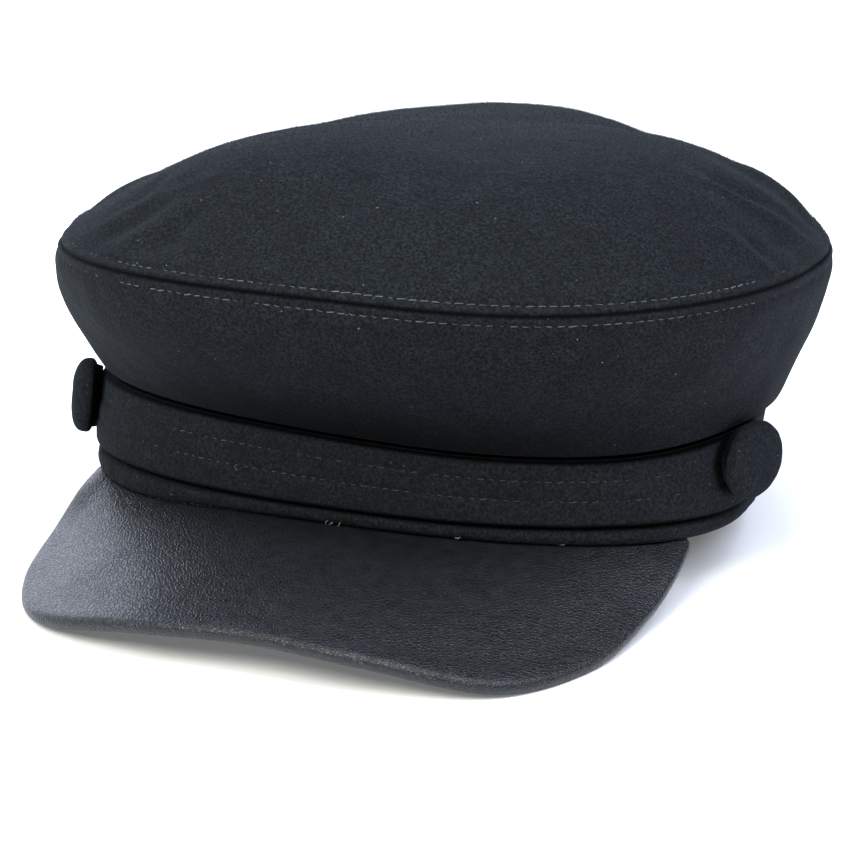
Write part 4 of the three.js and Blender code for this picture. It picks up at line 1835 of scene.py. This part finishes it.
@dataclass
class Peak:
    """The curved leather peak, with a thick rounded edge."""

    form: BandForm = field(default_factory=BandForm)
    length: float = 60.8
    end_bearing: float = 72.7
    flare: float = -0.2
    across: float = 0.8
    droop: float = 21.7
    thickness: float = 3.2
    edge_thickness: float = 4.2
    edge_reach: float = 9.0
    arch: float = 2.2
    gap: float = 0.3
    outline: tuple[OutlinePoint, ...] = (
        OutlinePoint(0.0, 1.0, 0.7),
        OutlinePoint(0.36, 1.0, 0.78),
        OutlinePoint(0.73, 0.89, 1.0),
        OutlinePoint(0.91, 0.64, 0.93),
        OutlinePoint(0.98, 0.33, 0.61),
        OutlinePoint(1.0, 0.15, 0.3),
    )
    steps: int = 260
    way_rows: int = 64
    way_crowding: float = 1.35
    nose_rows: int = 13
    curve_steps: int = 400

    def root_level(self, bearing: Points) -> Points:
        """Returns the height of the middle layer under the rim at bearings."""
        return self.form.rim(bearing) - self.gap - self.thickness / 2

    def edge_line(self) -> Points:
        """Outer line of the peak's middle layer.

        Returns:
            The points, from its right end to its left end.
        """
        root = self.form.point(math.radians(self.end_bearing), 0.0, 0.0)
        half_span = root[0] + self.flare
        reach = self.form.front_reach + self.length + root[1]
        half = [
            (knot.across * half_span, root[1] - knot.forward * reach, -knot.droop * self.droop)
            for knot in self.outline
        ]
        half.append((root[0], root[1], 0.0))
        right = [(-x, y, z) for x, y, z in half[:0:-1]]
        knots = np.array(right + half)
        knots[[0, -1], 2] = self.root_level(math.radians(self.end_bearing) * np.array([-1, 1]))
        knots[1:-1, 0] += self.across
        return even_curve(knots, self.curve_steps, self.steps)

    def layer(self) -> Points:
        """Middle layer of the peak.

        Returns:
            Rows of points from under the band out to the edge.
        """
        edge = self.edge_line()
        bearing = math.radians(self.end_bearing) * np.linspace(-1, 1, self.steps)
        under = self.form.point(bearing, -self.form.wall, 0.0)
        root = self.form.point(bearing, 0.0, 0.0)
        under[:, 2] = root[:, 2] = self.root_level(bearing)
        width = np.linalg.norm(root - edge, axis=-1)
        way = (1 - (1 - np.linspace(0, 1, self.way_rows)) ** self.way_crowding)[None, :, None]
        leaf = mix(root[:, None], edge[:, None], way)
        arch = self.arch * np.minimum(1, width / self.length)[:, None]
        leaf[..., 2] += 4 * arch * way[..., 0] * (1 - way[..., 0])
        return np.concatenate([under[:, None], leaf], axis=1)

    def build(self, room: Workroom) -> bpy.types.Object:
        """Builds the peak as one closed body.

        Args:
            room: What it is made with.

        Returns:
            The piece.
        """
        layer = self.layer()
        along = np.gradient(layer, axis=0)
        outward = np.gradient(layer, axis=1)
        normals = unit(np.cross(along, outward))
        normals[normals[..., 2] < 0] *= -1
        normals[:, 0] = UP
        normals[np.linalg.norm(normals, axis=-1) < 0.5] = UP
        to_edge = arc_lengths(layer[:, ::-1])[:, ::-1]
        swell = smooth_step(1 - to_edge / self.edge_reach)
        half = mix(self.thickness, self.edge_thickness, swell)[..., None] / 2
        upper, lower = layer + normals * half, layer - normals * half
        reach = unit(layer[:, -1] - layer[:, -3])[:, None]
        turn = np.linspace(0, math.pi, self.nose_rows + 2)[None, 1:-1, None]
        nose = layer[:, -1:] + half[:, -1:] * (normals[:, -1:] * np.cos(turn) + reach * np.sin(turn))
        sections = np.concatenate([upper, nose, lower[:, ::-1]], axis=1)
        piece = body_through("peak_leather", room.pose.place(sections), Ends.FLAT)
        return room.hand_over(piece, room.leather, ("peak",))


def even_curve(knots: Points, steps: int, count: int) -> Points:
    """Points at even distances along a smooth curve through knots.

    Args:
        knots: The knots, at least three.
        steps: Points tried between two knots when its length is measured.
        count: Points returned.

    Returns:
        The points, the first and last knot among them.
    """
    padded = np.concatenate([[2 * knots[0] - knots[1]], knots, [2 * knots[-1] - knots[-2]]])
    gaps = np.linalg.norm(np.diff(padded, axis=0), axis=-1) ** 0.5
    pieces = []
    share = np.linspace(0, 1, steps, endpoint=False)[:, None]
    for place in range(len(knots) - 1):
        before, start, end, after = padded[place:place + 4]
        first, middle, last = gaps[place:place + 3]
        chord = (end - start) / middle
        leave = ((start - before) / first - (end - before) / (first + middle) + chord) * middle
        arrive = (chord - (after - start) / (middle + last) + (after - end) / last) * middle
        square, cube = share**2, share**3
        pieces.append(
            (2 * cube - 3 * square + 1) * start + (cube - 2 * square + share) * leave
            + (3 * square - 2 * cube) * end + (cube - square) * arrive
        )
    dense = np.concatenate([*pieces, knots[-1:]])
    length = np.concatenate([[0], np.cumsum(np.linalg.norm(np.diff(dense, axis=0), axis=-1))])
    even = np.linspace(0, length[-1], count)
    return np.stack([np.interp(even, length, column) for column in dense.T], axis=-1)


@dataclass(frozen=True)
class Buried:
    """A stretch where a row of stitches lies deep in the nap, with its bearing and spread in degrees."""

    bearing: float
    spread: float
    depth: float


@dataclass
class StitchRow:
    """One row of topstitching along a line on the cloth."""

    name: str
    slot: Slot
    points: Points
    outward: Points
    closed: bool
    thread: bpy.types.Material
    seed: int
    pitch: float = 3.0
    length: float = 2.2
    radius: float = 0.17
    rise: float = 0.12
    slant: float = 0.2
    sink: float = 0.24
    sink_grain: float = 4.5
    buried: tuple[Buried, ...] = ()

    def sunk(self) -> Points:
        """Points of the row, sunk into the nap.

        Returns:
            The points, at a depth that varies along the row.
        """
        bearing = np.arctan2(self.points[:, 0], -self.points[:, 1])
        depth = self.sink * ripple(self.points, self.sink_grain, float(self.seed))
        for part in self.buried:
            depth = depth + part.depth * fading(bearing, part.bearing, part.spread)
        return self.points - self.outward * depth[:, None]

    def build(self, room: Workroom) -> bpy.types.Object:
        """Builds the stitches.

        Args:
            room: What they are made with.

        Returns:
            The piece.
        """
        points, outward = room.pose.place(self.sunk())[None], room.pose.turn(self.outward)
        line = path_object(self.name, points, outward, self.closed)
        sizes = {"Pitch": self.pitch * MM, "Length": self.length * MM, "Radius": self.radius * MM,
                 "Rise": self.rise * MM, "Slant": self.slant, "Finish": self.thread, "Seed": self.seed}
        grown(line, room.stitches, sizes)
        return room.hand_over(line)


@dataclass(frozen=True)
class ThreadEnd:
    """Where a frayed end of thread lies: its bearing and turn in degrees, and its place on the band."""

    bearing: float
    out: float
    up: float
    turn: float


@dataclass
class LooseThreads:
    """Frayed ends of pale thread, most of them where the hem meets the leather."""

    form: BandForm = field(default_factory=BandForm)
    length: float = 0.6
    overlap: float = 1.5
    radius: float = 0.09
    slant: float = 0.5
    seed: int = 41
    ends: tuple[ThreadEnd, ...] = (
        ThreadEnd(-27.3, 3.7, 12.3, -50.0),
        ThreadEnd(-2.5, 2.4, 0.8, 55.0),
        ThreadEnd(-1.2, 2.4, 0.5, 20.0),
        ThreadEnd(1.0, 2.4, 0.5, 55.0),
        ThreadEnd(30.5, 2.4, 0.6, 3.0),
        ThreadEnd(50.0, 2.4, 0.5, 3.0),
    )

    def build(self, room: Workroom) -> bpy.types.Object:
        """Builds the ends of thread.

        Args:
            room: What they are made with.

        Returns:
            The piece.
        """
        bearing = np.radians([end.bearing for end in self.ends])
        turn = np.radians([end.turn for end in self.ends])[:, None]
        out, up = np.array([(end.out, end.up) for end in self.ends]).T
        middle = self.form.point(bearing, out, up)
        outward = self.form.outward(bearing, np.zeros_like(bearing))
        along = np.stack([-outward[:, 1], outward[:, 0], np.zeros_like(bearing)], axis=-1)
        run = (along * np.cos(turn) + np.array(UP) * np.sin(turn)) * self.length / 2
        lines = room.pose.place(np.stack([middle - run, middle + run], axis=1))
        facing = room.pose.turn(np.stack([outward, outward], axis=1))
        threads = path_object("loose_threads", lines, facing, False)
        sizes = {"Pitch": self.length * MM, "Length": self.overlap * self.length * MM,
                 "Radius": self.radius * MM, "Rise": self.radius * MM, "Slant": self.slant,
                 "Finish": room.pale_thread, "Seed": self.seed}
        grown(threads, room.stitches, sizes)
        return room.hand_over(threads)


@dataclass
class Nap:
    """Short fibres that stand off the cloth."""

    name: str
    slot: Slot
    grid: Points
    painted_shade: Points
    fibres: int
    seed: int
    length: float = 0.95
    radius: float = 0.045
    lean: float = 1.0

    def build(self, room: Workroom) -> bpy.types.Object:
        """Builds the fibres.

        Args:
            room: What they are made with.

        Returns:
            The piece.
        """
        # The cover carries the painted shade of the cloth beneath, which the fibres grown on it take on.
        cover = surface_object(self.name, room.pose.place(self.grid), self.painted_shade)
        area = sum(face.area for face in cover.data.polygons)
        sizes = {"Density": self.fibres / area, "Length": self.length * MM, "Radius": self.radius * MM,
                 "Lean": self.lean, "Finish": room.nap, "Seed": self.seed}
        grown(cover, room.fibres, sizes)
        return room.hand_over(cover)


# Stage

COOL = (0.92, 0.99, 1.18)
WARM = (1.0, 1.02, 0.9)


def direction(azimuth: float, elevation: float) -> Vector:
    """Unit vector towards a place round the cap.

    Args:
        azimuth: Degrees round from the front.
        elevation: Degrees above the table.

    Returns:
        The vector.
    """
    turn, rise = math.radians(azimuth), math.radians(elevation)
    level = math.cos(rise)
    return Vector((math.sin(turn) * level, -math.cos(turn) * level, math.sin(rise)))


@dataclass(frozen=True)
class SoftBox:
    """A large soft studio light."""

    name: str
    azimuth: float
    elevation: float
    distance: float
    width: float
    height: float
    power: float
    tint: Colour
    target: tuple[float, float, float] = (0.0, 0.0, 0.06)

    def build(self) -> None:
        """Hangs the light, facing its target."""
        away = direction(self.azimuth, self.elevation)
        lamp = bpy.data.lights.new(self.name, "AREA")
        lamp.shape = "RECTANGLE"
        lamp.size, lamp.size_y = self.width, self.height
        lamp.energy = self.power
        lamp.color = self.tint
        holder = bpy.data.objects.new(self.name, lamp)
        holder.location = Vector(self.target) + away * self.distance
        holder.rotation_euler = away.to_track_quat("Z", "Y").to_euler()
        bpy.context.scene.collection.objects.link(holder)


@dataclass(frozen=True)
class Studio:
    """The tabletop, the surrounding light and the camera."""

    floor_size: float = 14.0
    surround: Colour = (0.93, 0.96, 1.0)
    surround_strength: float = 0.027
    lights: tuple[SoftBox, ...] = (
        SoftBox("left_side", -80.0, 25.0, 1.3, 1.0, 1.0, 5.2, COOL),
        SoftBox("backdrop_left", -140.0, 14.0, 3.0, 4.0, 1.8, 68.0, COOL),
        SoftBox("rear_top", 190.0, 50.0, 1.6, 1.4, 1.4, 9.0, COOL),
        SoftBox("overhead", 192.0, 68.0, 1.6, 0.6, 0.6, 7.5, COOL),
        SoftBox("crest", 4.0, 74.0, 1.5, 0.3, 0.3, 5.5, COOL),
        SoftBox("front_top", -10.0, 45.0, 1.6, 0.9, 0.9, 25.0, WARM),
        SoftBox("top_right", 85.0, 55.0, 1.5, 1.2, 1.2, 21.0, COOL),
    )
    azimuth: float = 21.610
    elevation: float = 19.032
    roll: float = -0.439
    distance: float = 0.8002
    target: tuple[float, float, float] = (0.00141, -0.00491, 0.02869)
    lens: float = 116.54
    sensor_width: float = 36.0
    far_limit: float = 50.0

    def build(self) -> None:
        """Lays the floor, hangs the lights and sets the camera."""
        half = self.floor_size / 2
        corners = [(-half, -half, 0), (half, -half, 0), (half, half, 0), (-half, half, 0)]
        mesh = bpy.data.meshes.new("tabletop")
        mesh.from_pydata(corners, [], [(0, 1, 2, 3)])
        mesh.materials.append(FloorFinish("tabletop_finish").material())
        linked("tabletop", mesh)
        world = bpy.data.worlds.new("surround")
        world.use_nodes = True
        backdrop = world.node_tree.nodes["Background"].inputs
        backdrop["Color"].default_value = opaque(self.surround)
        backdrop["Strength"].default_value = self.surround_strength
        bpy.context.scene.world = world
        for light in self.lights:
            light.build()
        self.set_camera()
        bpy.context.scene.view_settings.view_transform = "Standard"

    def set_camera(self) -> None:
        """Sets the camera at the photograph's angle."""
        back = direction(self.azimuth, self.elevation)
        turn = math.radians(self.azimuth)
        right = Vector((math.cos(turn), math.sin(turn), 0.0))
        up = back.cross(right)
        roll = math.radians(self.roll)
        side = right * math.cos(roll) + up * math.sin(roll)
        top = up * math.cos(roll) - right * math.sin(roll)
        place = Matrix((side, top, back)).transposed().to_4x4()
        place.translation = Vector(self.target) + back * self.distance
        camera = bpy.data.objects.new("camera", bpy.data.cameras.new("camera"))
        camera.data.lens = self.lens
        camera.data.sensor_width = self.sensor_width
        camera.data.clip_end = self.far_limit
        camera.matrix_world = place
        bpy.context.scene.collection.objects.link(camera)
        bpy.context.scene.camera = camera


def set_up_room() -> Workroom:
    """Returns the workroom, with every finish and node tree made."""
    return Workroom(
        pose=RestPose(),
        crown_wool=WoolFinish("crown_wool_finish").material(),
        # The band and button wool are copies of the crown wool with lighter tones, raised so that these parts
        # look more brightly lit: painted light in the colour.
        band_wool=WoolFinish(
            "band_wool_finish", ground=(0.0068, 0.0078, 0.0088), tips=(0.0235, 0.0268, 0.0302), specular=0.05
        ).material(),
        button_wool=WoolFinish(
            "button_wool_finish", ground=(0.0098, 0.0112, 0.0128), tips=(0.027, 0.0308, 0.035), specular=0.01
        ).material(),
        leather=LeatherFinish("pebbled_leather").material(),
        seam_thread=ThreadFinish("seam_thread").material(),
        strap_thread=ThreadFinish(
            "strap_thread", dark=(0.018, 0.019, 0.021), pale=(0.07, 0.073, 0.078)
        ).material(),
        pale_thread=ThreadFinish(
            "pale_thread", dark=(0.1, 0.105, 0.11), pale=(0.4, 0.4, 0.4)
        ).material(),
        nap=WoolFinish(
            "nap_fibres", ground=(0.011, 0.013, 0.016), tips=(0.062, 0.073, 0.09)
        ).material(),
        stitches=stitch_tree(),
        fibres=nap_tree(),
    )


def seam_rows(room: Workroom, top: TopPanel, side: SidePanel, steps: int = 900) -> list[StitchRow]:
    """Returns the rows of stitches on both sides of the crown seam."""
    return [
        StitchRow(
            "seam_stitches_top", Slot.CROWN, *top.seam_line(steps), True, room.seam_thread, 11,
            buried=(Buried(94, 18, 0.3), Buried(-58, 28, 0.3)),
        ),
        StitchRow(
            "seam_stitches_side", Slot.CROWN, *side.seam_line(steps), True, room.seam_thread, 12,
            buried=(Buried(90, 20, 0.3), Buried(-54, 24, 0.3)),
        ),
    ]


def strap_rows(room: Workroom, strap: FrontStrap, steps: int = 500, first_seed: int = 21) -> list[StitchRow]:
    """Returns the rows of stitches on the strap, each with its own seed."""
    return [
        StitchRow(
            f"strap_stitches_{place + 1}", Slot.BAND, *strap.stitch_line(share, steps), False,
            room.strap_thread, first_seed + place, length=1.8, radius=0.14,
            buried=(Buried(76, 12, 0.25), Buried(-60, 12, 0.25)),
        )
        for place, share in enumerate(strap.stitch_shares)
    ]


def main() -> None:
    """Builds the cap piece by piece, then the stage, and logs the sizes of each piece."""
    logging.basicConfig(level=logging.INFO, format="%(name)s %(message)s")
    room = set_up_room()
    top, side, strap = TopPanel(), SidePanel(), FrontStrap()
    top.build(room)
    side.build(room)
    Headband().build(room)
    strap.build(room)
    buttons = (
        CoveredButton(
            "button_cover_left", "button_left", strap.left_button, strap.left_lift, 5.0, strap, dark_back=0.8
        ),
        CoveredButton(
            "button_cover_right", "button_right", -strap.right_button, strap.right_lift, 3.0, strap
        ),
    )
    for button in buttons:
        button.build(room)
    Peak().build(room)
    for row in seam_rows(room, top, side) + strap_rows(room, strap):
        row.build(room)
    LooseThreads().build(room)
    Nap("nap_top", Slot.CROWN, *top.cover(), 44000, 31).build(room)
    Nap("nap_side", Slot.CROWN, *side.cover(), 42000, 32).build(room)
    Studio().build()


if __name__ == "__main__":
    main()
